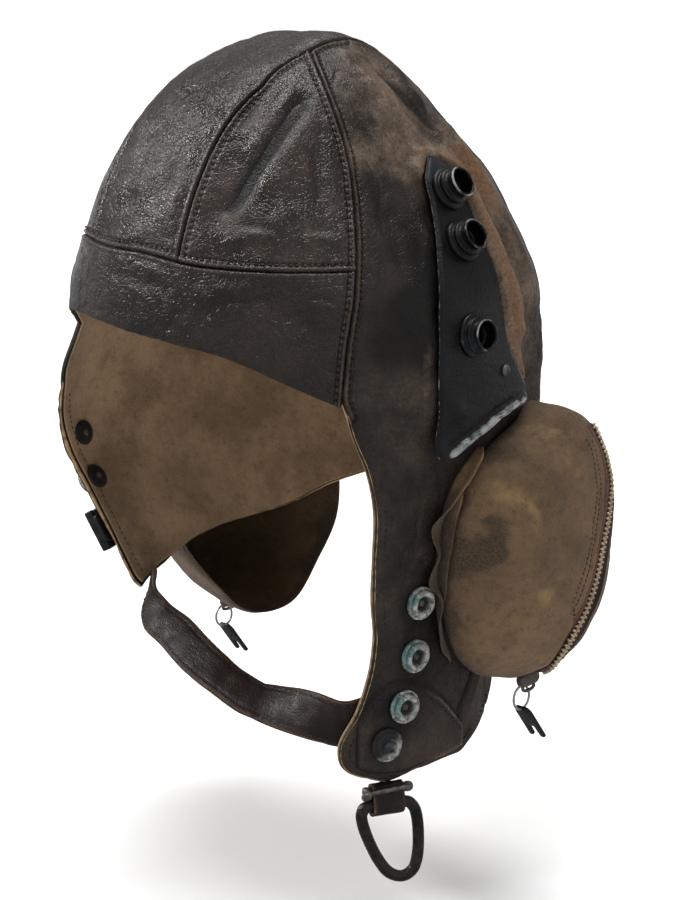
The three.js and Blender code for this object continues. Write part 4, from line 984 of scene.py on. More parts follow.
goreFolds = [
    (-2.9, 3.4, [(47.5, 56.5), (44, 51), (39, 44.5), (34, 36.5), (29.5, 28), (26.5, 22)]),
    (1.4, 4.8, [(43, 58), (37, 51.5), (32, 44), (28.5, 36)]),
    (1.2, 4.6, [(48, 51), (44, 44), (39, 36), (34, 28)]), (0.7, 2.2, [(46, 40), (46.5, 34), (48, 28)]),
    (-0.6, 2.0, [(49.5, 42), (50, 34), (50.5, 27)]), (0.7, 2.6, [(53.6, 46), (54.4, 38), (54.7, 28)]),
    (-0.7, 2, [(30, 54), (27.4, 48), (25.5, 43)]), (0.8, 1.9, [(26.9, 15.5), (30.3, 17.4), (36, 18.4)]),
    (-0.7, 1.7, [(29, 21), (35, 20), (42, 18.5)]),
    (0.7, 1.6, [(45.9, 15.2), (47.5, 18.2), (55.6, 17.2)]),
    (-0.6, 1.5, [(43, 24), (44.6, 19), (45, 15)]), (0.5, 2, [(40, 27), (39, 22), (38, 17)])]
bandFolds = [
    (-0.5, 0.9, [(46.5, 3.4), (50.4, 3.2), (53.3, 2.2)]),
    (0.45, 1.2, [(46.5, 1.8), (50.4, 1.6), (53, 0.8)]),
    (-0.5, 1.1, [(41.5, -2), (43.2, 0), (44.9, 0.9)]), (0.5, 2.5, [(-7, 12), (2, 10), (11, 8.8)]),
    (-0.5, 2.4, [(-8, 8.5), (4, 6), (16, 5)]), (0.45, 2, [(22, 3), (28, 5.5), (34, 6)]),
    (-0.4, 1.5, [(24, 1), (33, 3), (40, 4)]), (0.5, 5, [(-40, 5), (-30, 4), (-20, 5)])]
stripLook = dict(seed=11, softSize=23, soft=0.95, wrinkleSize=15, wrinkle=0.2, tone=-0.12,
                 pebble=0.1, seamWear=0.35, wearFrom=0.75, folds=stripFolds)
places = stripPlaces(stripPanel["rows"], stripPanel["columns"])
stripLines = {"right": border(places, np.s_[:, 0]), "left": border(places, np.s_[:, -1])}
browLine = border(places, 0)
napeLine = border(places, -1)
leatherPanel("crownStrip", places, [
    ("lap", stripLines["left"], lapShape), ("lap", stripLines["right"], lapShape),
    ("seam", browLine, seamShape), ("free", napeLine, 1),
], stripLook, crownLeather, ["crown_strip"])
threadParts = [seamThread(browLine, threadRows["seam"], (0, -50, 200), 55)]
stage("crown strip")

goreLook = dict(stripLook, seed=21, soft=0.8, wrinkle=0.26, tone=0.3, folds=goreFolds)
goreLooks = {"left": goreLook, "right": dict(goreLook, seed=27, folds=[
    (-1.2, 3.5, [(-45, 54), (-38, 42), (-32, 30)]), (0.8, 3, [(-50, 44), (-46, 32)])])}
for word, side in hands:
    places = gorePlaces(side, *gorePanel)
    edgeLines = [border(places, part) for part in (np.s_[:, 0], np.s_[:, -1], 0)]
    leatherPanel(f"frontGore.{word}", places, [("seam", line, seamShape) for line in edgeLines],
                 goreLooks[word], crownLeather, [f"front_gore_{word}"])
    middle = skin(side * 42.0, 32.0)
    for k, line in enumerate(edgeLines):
        threadParts.append(seamThread(line, threadRows["seam"], middle, 31 + 5 * k + side))
stage("front gores")

bandLook = dict(stripLook, seed=33, soft=0.4, wrinkle=0.3, wearFrom=0.6, tone=-0.18, folds=bandFolds)
places = bandPlaces(*bandPanel)
rimLine = border(places, 0)
bandTop = border(places, -1)
leatherPanel("browBand", places, [
    ("seam", bandTop, plainShape), ("seam", border(places, np.s_[:, 0]), seamShape),
    ("seam", border(places, np.s_[:, -1]), seamShape), ("free", rimLine, 0.6),
], bandLook, crownLeather, ["brow_band"])
for part, side in ((np.s_[:, 0], -1), (np.s_[:, -1], 1)):
    threadParts.append(seamThread(border(places, part), threadRows["seam"], (0, -90, 0), 51 + side))
makeObject("crownStitching", threadParts, redThread)
stage("brow band")

plateRows = table(
    "elev front rear lift", (-32.8, 78.8, 81.5, 2.2), (-31.2, 77.7, 86.5, 1.8), (-29.5, 77.8, 92, 1.5),
    (-26.5, 78.4, 101.5, 1.1), (-24, 79, 112, 0.8), (-21.5, 79, 114, 0.5), (-18, 79, 111, 0.3),
    (-11, 79.7, 106, 0), (-2, 80.5, 105, 0), (8, 83, 106, 0), (18, 86.5, 107, 0), (28, 89.5, 108, 0),
    (36, 91.5, 108, 0), (41, 96, 105, 0))


def plateSide(column, elev):
    # one column of the plate's table at an elevation
    return tableValue(plateRows, "elev", column, elev)


def plateOutline():
    # the plate's border as places, from its foot up the front edge and down the rear one
    elev = np.linspace(plateRows["elev"][0], plateRows["elev"][-1], 200)
    angle = np.concatenate([plateSide("front", elev), plateSide("rear", elev)[::-1]])
    return facePoint(angle, np.concatenate([elev, elev[::-1]]))


def aroundPlate(face, angle, elev):
    # leather rolls up against the rear and top of the plate, and is held flat under it
    away, _ = nearest(face, plateOutline())
    within = (elev > plateRows["elev"][0]) & (elev < 41) & (angle > plateSide("front", elev))
    within &= angle < plateSide("rear", elev)
    middle = (plateSide("front", elev) + plateSide("rear", elev)) / 2
    behind = np.clip((angle - middle + np.clip(elev - 30, 0, 11) * 2) / 6, 0, 1)
    behind = behind * ramp(elev, -24, -16)
    lumps = 1 + 0.3 * lattice(face, 12, 77)
    roll = 3.9 * lumps * bell(away - 3.2, 3.2) * behind
    front = 0.9 * bell(away - 5, 3.0) * (angle < middle) * ramp(elev, -20, -11)
    return np.where(within, -0.2, roll + front * ramp(elev, 30, 22))


def flapDents(face, angle, elev):
    # a round dimple where a stud was, a small hole near the rear edge, and dents round the studs
    total = np.zeros(angle.shape)
    for dentAngle, dentElev, radius, depth in zip(*flapMarks.values()):
        away = spotGap(face, dentAngle, dentElev) / radius
        total += depth * (bell(away, 0.5) * -1 + 0.6 * bell(away - 1, 0.35))
    return total


flapMarks = table("angle elev radius depth", (79.5, -50.0, 4.5, 0.5), (93.5, -62.6, 1.7, 1.2),
                  (78.4, -54.6, 7.6, 0.35), (77.1, -59.3, 7.6, 0.35))
sideLook = dict(seed=51, softSize=30, soft=0.9, wrinkleSize=17, wrinkle=0.5,
                pebble=0.12, seamWear=0.3, wearFrom=1.0, stretch=(1, 1, 0.75))
sideFolds = {
    "left": [
        (1.3, 2.6, [(79, 66.5), (86, 60), (93, 54.5), (100, 50.5), (106, 45)]),
        (-1.6, 2.2, [(98, 68), (104, 62), (108, 56), (113, 50), (117, 44), (119, 36)]),
        (1.1, 2.0, [(108, 66), (113, 59), (117, 52), (120, 45)]),
        (-0.9, 1.6, [(73, 74), (86, 71), (98, 69)]), (0.8, 2.2, [(72, 69), (80, 71), (92, 66)]),
        (-0.7, 2.4, [(66, 52), (72, 47), (79, 40)]), (0.7, 3.0, [(84, 55), (76, 46), (71, 39)]),
        (0.8, 2.4, [(88, 47), (93, 43.5), (98, 42.8), (104, 42)]),
        (1.2, 2.0, [(110, 30), (111.5, 20), (111, 8), (110.5, -4), (113, -14)]),
        (-2.0, 1.9, [(117.5, 30), (117.5, 22), (116.5, 10), (116, -2), (117.5, -12), (120.5, -20)]),
        (1.3, 2.2, [(123, 30), (124, 18), (123, 6), (122.5, -6), (122.5, -18)]),
        (-0.8, 1.0, [(112.5, 26), (113.5, 16), (113.5, 6), (112.5, -3)]),
        (0.7, 1.3, [(88, 62), (96, 58), (104, 53), (110, 48)]),
        (-0.9, 1.6, [(129, 26), (130, 12), (129, -2), (127, -14), (124, -22)]),
        (0.9, 2.4, [(135, 22), (136, 6), (134, -8), (129, -20)]),
        (0.9, 1.2, [(113.5, -6), (115.5, -14), (119, -20.5)]),
        (-0.8, 1.0, [(111.5, -8), (113.5, -14), (117.5, -20)]),
        (0.8, 2.2, [(67, -16), (70, -19.5), (75, -20), (77.5, -17)]),
        (-0.7, 2.0, [(66, -22.5), (71, -24), (76, -23)]), (0.6, 2.6, [(70, -27), (74, -32), (76, -38)]),
        (-0.5, 1.3, [(66, -38), (70, -40), (75, -40.5)]),
        (0.45, 1.3, [(67, -42.5), (71, -44), (76, -44.5)]),
        (-0.6, 1.6, [(71, -49), (77, -51.5), (84, -51)]),
        (-0.5, 1.2, [(68, -57), (74, -57), (80, -56.8)]),
        (-1.5, 1.5, [(104, -60.8), (101, -62.3), (98, -63.5), (95.5, -64.4)]),
        (0.9, 1.7, [(107, -61.5), (104, -63), (101, -64.2)]), (0.6, 3, [(64, 44), (66, 34), (66, 22)]),
        (-0.6, 3, [(70, 30), (72, 18), (72, 6)]), (0.5, 4, [(76, 20), (76, 8), (74, -6)])],
    "right": [
        (1.2, 3, [(-80, 66), (-93, 54), (-104, 46)]), (-1.2, 2.4, [(-100, 66), (-110, 54), (-118, 40)]),
        (-0.9, 2.4, [(-112, 26), (-114, 6), (-119, -18)]),
        (0.9, 2.8, [(-122, 26), (-124, 2), (-122, -18)]),
        (-0.7, 3, [(-70, -20), (-74, -28), (-77, -34)]), (0.7, 3, [(-84, 40), (-80, 20), (-78, 4)])]}
studHalos = [(78.4, -54.6), (77.1, -59.3), (73, -62.5), (67.5, -64.4)]  # angles and elevations


def sideTone(side):
    # near black beside the plate and round the studs, orange-brown behind it, brown at the top,
    # lightened there as painted sheen
    def tone(face, angle, elev):
        turn = side * angle
        patches = lattice(face, 14, 9)
        spread = 5.5 + 9 * ramp(elev, 14, 34)
        rear = bell(turn - 106 - 0.9 * spread, spread) * ramp(elev, -30, -18)
        rear = rear * ramp(elev, 47, 35)
        outer = ramp(turn, 117, 122) * ramp(elev, -34, -22) * (0.3 - 0.25 * ramp(turn, 128, 145))
        # painted sheen: the top of the side panel is made lighter where the top light falls
        brow = bell(turn - 90, 24) * ramp(elev, 24, 42) * ramp(elev, 86, 72) * 0.62
        front = plateSide("front", elev) - turn
        near = bell(np.maximum(front, 0), 15) * ramp(elev, -22, -10) * ramp(elev, 36, 20)
        near = near * (front > -6)
        flap = ramp(elev, -20, -30) * 0.12 - 0.16 * bell(elev + 20, 4)
        if side < 0:
            return 0.3 * rear + 0.3 * brow - flap + 0.1 * patches - 0.1
        total = 1.05 * rear + outer + brow - 1.2 * near - flap
        total = total + (0.3 - 0.2 * ramp(turn, 118, 135)) * patches * ramp(elev, 60, 30)
        for halo in studHalos:
            total = total - 0.8 * disc(spotGap(face, *halo), 10)
        return total
    return tone


patchRows = table(
    "angle top hem", (59.5, -62.7, -65.2), (63, -61.6, -65.6), (67, -61.1, -65.9), (74, -61.1, -66.2),
    (81, -62, -66.2), (87, -63, -66.2), (93, -64.2, -66.1), (97, -65, -66))


def patchShade(side):
    # a dark line on the flap along the patch's upper edge
    along = np.linspace(*patchRows["angle"][[0, -1]], 160)
    line = facePoint(along, tableValue(patchRows, "angle", "top", along) + 0.25)

    def shade(face, angle, elev):
        return 0.95 * bell(nearest(face, line)[0], 0.75) * (side > 0)
    return shade


def sideWearAndSheen(side):
    # rubbed streaks along the ridges behind the plate, and streaks over the rounding above it that are
    # partly rubs and partly painted sheen
    def wear(face, angle, elev):
        turn = side * angle
        streak = bell(lattice(face * [1, 1, 0.22], 3.5, 88), 0.4)
        ridges = bell(turn - 111, 3.5) + 0.6 * bell(turn - 123, 3)
        ridges = ridges * ramp(elev, -26, -12) * ramp(elev, 44, 34) * 0.5
        # over the rounding above the plate the streaks partly stand for painted sheen
        top = bell(turn - 95, 12) * ramp(elev, 38, 46) * ramp(elev, 60, 52) * 0.35
        return np.clip(ridges * (0.4 + streak) + top * streak, 0, 0.9)
    return wear


for word, side in hands:
    places = sidePlaces(side, word, *sidePanel[word])
    angle, elev = places
    face = facePoint(angle, elev)
    seamRow = rowAt(elev, leather["flapTop"])
    hemRow = rowAt(elev, leather["hem"])
    front, flapFront = evenly(face[:seamRow + 1, 0]), evenly(face[seamRow:, 0])
    behind, hemLine = evenly(face[:hemRow + 1, -1]), evenly(face[hemRow:, -1])
    tipLine = evenly(face[-1])
    look = dict(sideLook, seed=51 + side, folds=sideFolds[word])
    extra = (lambda f, a, e: aroundPlate(f, a, e) + flapDents(f, a, e)) if side > 0 else None
    leatherPanel(f"sidePanel.{word}", places, [
        ("seam", front, seamShape), ("seam", behind, plainShape), ("free", flapFront, 0.74),
        ("free", hemLine, 0.7), ("free", tipLine, 0)],
        look, sideLeather, [f"side_panel_{word}"],
        dict(tone=sideTone(side), wear=sideWearAndSheen(side), groove=patchShade(side)), extra)
    middle = (side * 90, 40, -60)
    parts = [seamThread(front, threadRows["seam"], middle, 59 + side),
             seamThread(flapFront, threadRows["flap"], middle, 61 + side, 0.0),
             seamThread(hemLine, threadRows["flap"], (side * 80, 0, -60), 65 + side, 0.0)]
    makeObject(f"flapStitching.{word}", parts, brownThread)
stage("side panels")


# linings
def liningPanel(name, places, replaced, material, seed):
    # the chamois follows the leather's back with its own soft lumps
    angle, elev = places
    face, out = faceAndNormal(angle, elev)
    lumps = rough(face, 16, seed, 3) * 0.22
    back = leather["wall"] + leather["gap"] - 0.25
    outer = face - out * back
    inner = face - out * (back + leather["lining"] + lumps)[..., None]
    tone = 0.25 * lattice(face, 30, seed) - 0.15
    makeObject(name, [pillow(outer, inner, {"tone": tone})], material, [replaced])


liningPanel("stripLining", stripPlaces(100, 18, 0.2), "strip_lining", chamois, 61)
liningPanel("bandLining", bandPlaces(20, 110, 0.6), "band_lining", chamois, 62)
for word, side in hands:
    liningPanel(f"goreLining.{word}", gorePlaces(side, 36, 28, 0.2), f"gore_lining_{word}", chamois, 63)
    liningPanel(f"sideLining.{word}", sidePlaces(side, word, 110, 64, -0.35 if side > 0 else 1.6),
                f"side_lining_{word}", chamois, 64 + side)
    places = sidePlaces(side, word, 150, 90, 5.0)
    face = facePoint(*places)
    start = rowAt(places[1], leather["flapTop"] - 1.5)
    angle, elev, _ = polar(evenly(face[start:, 0], 0.5))
    thread = stitches(skin(angle, elev, -(leatherDepth + 0.05)), -faceNormal(angle, elev), threads, 71)
    makeObject(f"liningStitching.{word}", [thread], paleThread)
stage("linings")


# plate, sockets and rivet
plateLook = dict(wall=1.6, seat=1.25, rows=110, columns=56, socketSeat=0.1)
socketPlaces = dict(plate_socket_top=(99, 31, 8.65), plate_socket_middle=(95.8, 15.6, 7.8),
                    plate_socket_low=(91.2, -7.9, 6.8))
socketProfile = [  # radius in millimetres and height as a share of the socket's
    (0, -0.06), (8.4, -0.06), (8.8, 0.02), (8.85, 0.1), (8.5, 0.17), (7.6, 0.2), (7.1, 0.21),
    (6.9, 0.27), (7.0, 0.33), (7.35, 0.37), (7.4, 0.44), (7.1, 0.49), (6.2, 0.51), (5.65, 0.54),
    (5.5, 0.6),
    (5.5, 0.82), (5.75, 0.86), (6.2, 0.89), (6.4, 0.94), (6.3, 1.0), (5.9, 1.03), (5.5, 1.02),
    (5.25, 0.97), (5.15, 0.85), (5.1, 0.3), (4.6, 0.24), (2.0, 0.2), (1.8, 0.3), (0, 0.32)]


elev = np.interp(shares(plateLook["rows"], 0.5), [0, 1], plateRows["elev"][[0, -1]])[:, None]
column = shares(plateLook["columns"], 0.6)[None]
angle = mix(plateSide("front", elev), plateSide("rear", elev), column)
elev = elev + 0 * angle
lift = plateLook["seat"] + plateSide("lift", elev) * plateLook["wall"]
face = facePoint(angle, elev)
away = nearest(face, plateOutline())[0]
lift = lift + 0.8 * bell(spotGap(face, 84.5, -24.0), 3.6) + 0.25 * lattice(face, 17, 5)
foot = ramp(elev, -22.5, -24) * ramp(angle, 79.5, 82.5)
lift = lift + 1.5 * bell(away, 1.5) * foot - 0.5 * bell(away - 3.4, 1.3) * foot
crust = 0.62 + 0.3 * lattice(face, 2.6, 6)
# pale marks: a real crust along the plate's foot, and a thin pale line round the front half of its
# border that is a painted highlight
worn = foot * crust * disc(away, 2.8) + 0.5 * (column < 0.5) * bell(away, 0.3)
thin = 1 - 0.62 * bell(away, 0.9) * (1 - foot)
outer = skin(angle, elev, lift + plateLook["wall"] * thin)
inner = skin(angle, elev, lift)
# a random mottle, plus painted sheen over the top of the plate
mottleAndTopSheen = 0.25 * lattice(face, 9, 8) + 1.3 * ramp(elev, 24, 38) - 0.5
plateSheet = pillow(outer, inner, {"edge": worn, "tone": mottleAndTopSheen}, 1.0, (0.9, 0.15, 0, 0), (1, 1))
makeObject("earPlate", [plateSheet], blackPlate, ["ear_plate"])
for name, (angle, elev, height) in socketPlaces.items():
    profile = np.array(socketProfile)
    # painted shade inside the socket's bore
    boreShade = ramp(profile[:, 0], 5.4, 5.2) * (profile[:, 1] > 0) * (profile[:, 1] < 0.98)
    # pale rims: partly wear, partly painted glints
    worn = bell(profile[:, 0] - 6.1, 0.35) * (profile[:, 1] > 0.9) * 0.9
    worn = worn + 0.12 * (profile[:, 0] > 8.4) + 0.2 * (profile[:, 0] > 7.2)
    profile[:, 1] *= height
    points, faces = lathe(profile, 56)
    worn = worn * np.clip(0.6 + 0.6 * lattice(points + angle, 3.2, 119), 0, 1)
    seat = plateLook["seat"] + plateLook["wall"] + plateLook["socketSeat"]
    piece = fitted((points, faces), frameAt(1, angle, elev, seat), groove=boreShade + 0 * worn, edge=worn)
    makeObject(camel(name), [piece], blackPlate, [name])
dome = [(0, -0.6), (2.3, -0.6), (2.4, 0.2), (2.15, 0.7), (1.5, 1.1), (0.7, 1.3), (0, 1.35)]
points, faces = lathe(dome, 28)
mark = np.exp(-((points[..., 0] ** 2 + points[..., 1] ** 2) / 0.8)) * 0.9
rivet = fitted((points, faces), frameAt(1, 103, -17, 3.5), groove=mark)
makeObject("plateRivet", [rivet], plainSteel, ["plate_rivet"])
stage("plate and sockets")


# ear pockets, seams, zips
pocket = dict(reach=120.5, halfLength=43, halfHeight=58, y=36, drop=100, seat=1.0,
              rearShare=1.3, topShift=0.18, left=(100, 230), right=(64, 150), wall=1.8)
pocketThreads = dict(threads, pitch=2.1, length=1.5, radius=0.34)
pocketOutline = np.array([
    (0.96, 0.12), (0.88, 0.5), (0.64, 0.82), (0.3, 0.95), (-0.02, 0.86), (-0.45, 0.74), (-0.8, 0.56),
    (-0.98, 0.28), (-1.02, -0.08), (-0.97, -0.45), (-0.78, -0.78), (-0.46, -0.98), (-0.12, -1.03),
    (0.24, -0.95), (0.6, -0.7), (0.86, -0.32)])  # along and up, from the rear end upwards
pocketSections = table("rise front rear", (0, 1, 1), (0.34, 0.92, 1), (0.66, 0.78, 0.95),
                       (0.86, 0.6, 0.83), (0.97, 0.36, 0.62))
zipRows = table(
    "at corner section", (-1, 12.2, 1.95), (0, 12.2, 2.45), (1, 12.19, 2.95), (2, 12.32, 3.64),
    (3, 12.72, 4.04), (4, 13.1, 4.22), (5, 13.6, 4.36), (6, 14.3, 4.48), (7, 15.4, 4.52),
    (8, 16.25, 4.38), (9, 16.78, 4.14), (10, 17.03, 3.85), (11, 17.38, 3.62), (12, 17.86, 3.42),
    (13, 18.2, 3.12), (14, 18.4, 2.85), (15, 18.52, 2.6))


def pocketSpread(along, up, size=1.0):
    # shares of the half sizes, enlarged by size, to y and z in millimetres
    return (pocket["y"] + along * pocket["halfLength"] * size,
            -pocket["drop"] + up * pocket["halfHeight"] * size)


def placeAtSide(side, y, z):
    # the place of the head form with that y and z
    def at(x):
        return polar(np.stack([side * x, y + 0 * x, z + 0 * x], -1))

    def within(x):
        angle, elev, length = at(x)
        return length < headRadius(angle, elev)
    y, z = np.broadcast_arrays(np.asarray(y, float), np.asarray(z, float))
    return at(bisect(np.zeros(y.shape), np.full(y.shape, 178.0), within))[:2]


def footPoint(side, corner, size, lift):
    # a point of the outline, enlarged by size, on the leather
    return skin(*placeAtSide(side, *pocketSpread(*cubic(pocketOutline, corner), size)), lift)


def cubic(ring, at):
    # smooth closed curve through a ring of values, one column at a time
    k = np.floor(at).astype(int)
    w = weights(at - k)
    n = len(ring)
    return [sum(w[i] * ring[(k + i - 1) % n, c] for i in range(4)) for c in range(ring.shape[1])]


def pocketGrid(side):
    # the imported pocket's sections, its top point, and one more row past each end
    along, up = pocketOutline.T
    foot = skin(*placeAtSide(side, *pocketSpread(along, up)), pocket["seat"])
    rows = [foot]
    rearShare = np.minimum((1 + along) / pocket["rearShare"], 1)
    for rise, front, rear in list(zip(*pocketSections.values()))[1:]:
        size = mix(front, rear, rearShare)
        x = mix(np.abs(foot[:, 0]), pocket["reach"], rise)
        rows.append(np.stack([side * x, *pocketSpread(along, up, size)], -1))
    top = np.array([side * (pocket["reach"] + 0.6), *pocketSpread(pocket["topShift"], 0)])
    rows.append(np.broadcast_to(top, foot.shape))
    before = 2 * rows[0] - rows[1]
    return np.array([before] + rows + [np.roll(rows[-2], 8, axis=0)])


def pocketPoint(grid, section, corner):
    # smooth surface through the pocket's grid of sections and corners
    section, corner = np.broadcast_arrays(np.clip(section, 0, 4.9999), corner)
    r, c = np.floor(section).astype(int), np.floor(corner).astype(int)
    wr, wc = weights(section - r), weights(corner - c)
    total = 0
    for i in range(4):
        for j in range(4):
            total = total + (wr[i] * wc[j])[..., None] * grid[r + i, (c + j - 1) % 16]
    return total


def pocketNormal(grid, section, corner, side):
    # cross product of the pocket's two slopes, turned away from its middle
    low, high = np.clip(section - 0.04, 0, 4.93), np.clip(section + 0.04, 0.08, 4.99)
    over = pocketPoint(grid, high, corner) - pocketPoint(grid, low, corner)
    at = np.clip(section, 0, 4.93)
    around = pocketPoint(grid, at, corner + 0.05) - pocketPoint(grid, at, corner - 0.05)
    normal = unit(np.cross(around, over))
    outwards = pocketPoint(grid, at, corner) - [side * 70, pocket["y"], -pocket["drop"]]
    return normal * np.sign((normal * outwards).sum(-1))[..., None]


def zipLine(grid, shift=0.0, first=-1.0, last=15.0, count=400):
    # the zip's way over the pocket, moved over its surface towards the middle by shift millimetres
    at = np.linspace(first, last, count)
    corner = tableValue(zipRows, "at", "corner", at)
    section = tableValue(zipRows, "at", "section", at)
    for _ in range(4):
        low, high = np.clip(section - 0.04, 0, 4.95), np.clip(section + 0.04, 0.05, 4.99)
        rise = pocketPoint(grid, high, corner) - pocketPoint(grid, low, corner)
        rise = rise / (high - low)[:, None]
        around = (pocketPoint(grid, section, corner + 0.05)
                  - pocketPoint(grid, section, corner - 0.05)) / 0.1
        line = pocketPoint(grid, section, corner)
        along = unit(np.gradient(line, axis=0))
        towards = unit(pocketPoint(grid, np.array(4.99), np.array(15.0)) - line)
        out = unit(np.cross(rise, around))
        sideways = unit(np.cross(out, along))
        sideways = sideways * np.sign((sideways * towards).sum(-1, keepdims=True)) * shift / 4
        aa, bb = (rise * rise).sum(-1), (around * around).sum(-1)
        pairs = ((rise, around), (rise, sideways), (around, sideways))
        ab, am, bm = ((p * q).sum(-1) for p, q in pairs)
        scale = np.maximum(aa * bb - ab * ab, 1e-6)
        section = np.clip(section + (am * bb - bm * ab) / scale, 0.05, 4.98)
        corner = corner + (bm * aa - am * ab) / scale
        if shift:
            spread = count // 16
            share = np.hanning(spread * 2 + 1)
            section, corner = (np.convolve(np.pad(way, spread, mode="reflect", reflect_type="odd"),
                                           share / share.sum(), "valid") for way in (section, corner))
    return section, corner


rowShifts = (8.2, 11.2)  # millimetres from the zip's middle to its two rows of thread


def pocketSurface(side, section, corner):
    # face, normal, relief and distance to the zip: soft lumps, fine lines, a ridge beside the tape
    grid = pocketGrid(side)
    face, out = pocketPoint(grid, section, corner), pocketNormal(grid, section, corner, side)
    away, run = nearest(face, pocketPoint(grid, *zipLine(grid, count=700)))
    open = np.clip(np.minimum(run - 3, run.max() - 3 - run) / 6, 0, 1)
    calm = np.clip(section / 0.6, 0, 1) * (1 - 0.9 * bell(away, 5))
    relief = calm * (rough(face, 30, 81 + side, 3) * 1.3 + rough(face, 6, 91, 2) * 0.16)
    lines = np.abs(rough(face, 24, 95 + side, 3))
    relief = relief - calm * 0.4 * bell(lines, 0.1)
    relief = relief + open * (0.5 * bell(away - 4.6, 1.6) - 0.7 * bell(away, 2.6))
    for shift in rowShifts:
        row, _ = nearest(face, pocketPoint(grid, *zipLine(grid, shift, -0.4, 14.5)))
        relief = relief - 0.3 * bell(row, 0.6)
    return face, out, relief, away + 20 * (1 - open)


# the suede's rubs and blots: (share, spread, along, up) with places as shares of the half sizes
pocketPatches = [(0.75, 0.17, -0.68, 0.4), (0.6, 0.15, -0.04, 0.62), (0.5, 0.17, 0, 0.86),
                 (0.45, 0.25, -0.48, -0.03), (-0.75, 0.16, -0.39, 0.66), (-0.6, 0.13, -0.87, 0.26),
                 (-0.45, 0.13, -0.77, 0.15), (-0.8, 0.14, -1.0, -0.03), (-0.6, 0.14, -0.96, -0.49),
                 (-0.6, 0.12, 0.2, 0.8), (-0.35, 0.12, 0.21, 0.52), (-0.3, 0.15, -0.23, -0.06),
                 (-0.8, 0.1, -0.93, 0.4), (-0.25, 0.25, -0.56, -0.62), (0.35, 0.2, -0.35, -0.35)]


def buildPocket(side, word):
    # outer and inner skins joined at the foot, and two rows of thread beside the zip
    grid = pocketGrid(side)
    rows, columns = pocket[word]
    section = (4.999 * shares(rows, 0.25))[:, None]
    corner = np.linspace(0, 16, columns, endpoint=False)[None]
    section, corner = np.broadcast_arrays(section, corner)
    face, out, relief, away = pocketSurface(side, section, corner)
    sink = out * (1.2 * bell(section, 0.12))[..., None]
    outer = face + out * relief[..., None] - sink
    inner = face - out * (pocket["wall"] * np.ones(away.shape))[..., None]
    inner[0] = outer[0] * 0.5 + inner[0] * 0.5
    height = (face[..., 2] + pocket["drop"]) / pocket["halfHeight"]
    turn = (face[..., 1] - pocket["y"]) / pocket["halfLength"]
    warp = 0.12 * rough(face, 14, 97, 3)
    tone = 0.24 * rough(face, 9, 98, 3) + 0.02
    for share, spread, alongPlace, upPlace in pocketPatches:
        gap = np.hypot((turn - alongPlace) * 0.8, height - upPlace) + warp
        tone = tone + share * 0.75 * bell(np.maximum(gap, 0), spread)
    # painted shade: darker towards the pocket's foot, where it meets the flap
    tone = tone - 0.6 * ramp(section, 0.9, 0)
    scratch = bell(lattice(face * [1, 0.3, 1], 1.6, 99), 0.2)
    scratch = scratch * bell(height + 0.32, 0.06) * bell(turn + 0.32, 0.1)
    # the groove mark is painted shade under the middle of the zip tape
    values = dict(tone=tone, groove=0.85 * bell(away, 2.2),
                  wear=0.35 * bell(away - 4.4, 0.9) + 0.7 * scratch)
    count = rows * columns
    points = np.concatenate([outer.reshape(-1, 3), inner.reshape(-1, 3)])
    first = np.arange(columns)
    after = (first + 1) % columns
    faces = [gridFaces(rows, columns, roundColumns=True),
             gridFaces(rows, columns, roundColumns=True, first=count),
             np.stack([first, after, after + count, first + count], -1)]
    marks = {key: np.concatenate([np.ravel(v), np.ravel(v)]) for key, v in values.items()}
    makeObject(f"earPocket.{word}", [(points, faces, marks)], suede, [f"ear_pocket_{word}"])
    rowsOfThread = []
    for k, shift in enumerate(rowShifts):
        section, corner = zipLine(grid, shift, -0.4, 14.5)
        face, out, relief, _ = pocketSurface(side, section, corner)
        rowsOfThread.append(stitches(face + out * relief[:, None], out, pocketThreads, 101 + k))
    makeObject(f"pocketStitching.{word}", rowsOfThread, brownThread)


zipLook = dict(tape=4.4, wall=1.0, pitch=2.1, tooth=(1.05, 2.7, 1.3), lift=0.8)


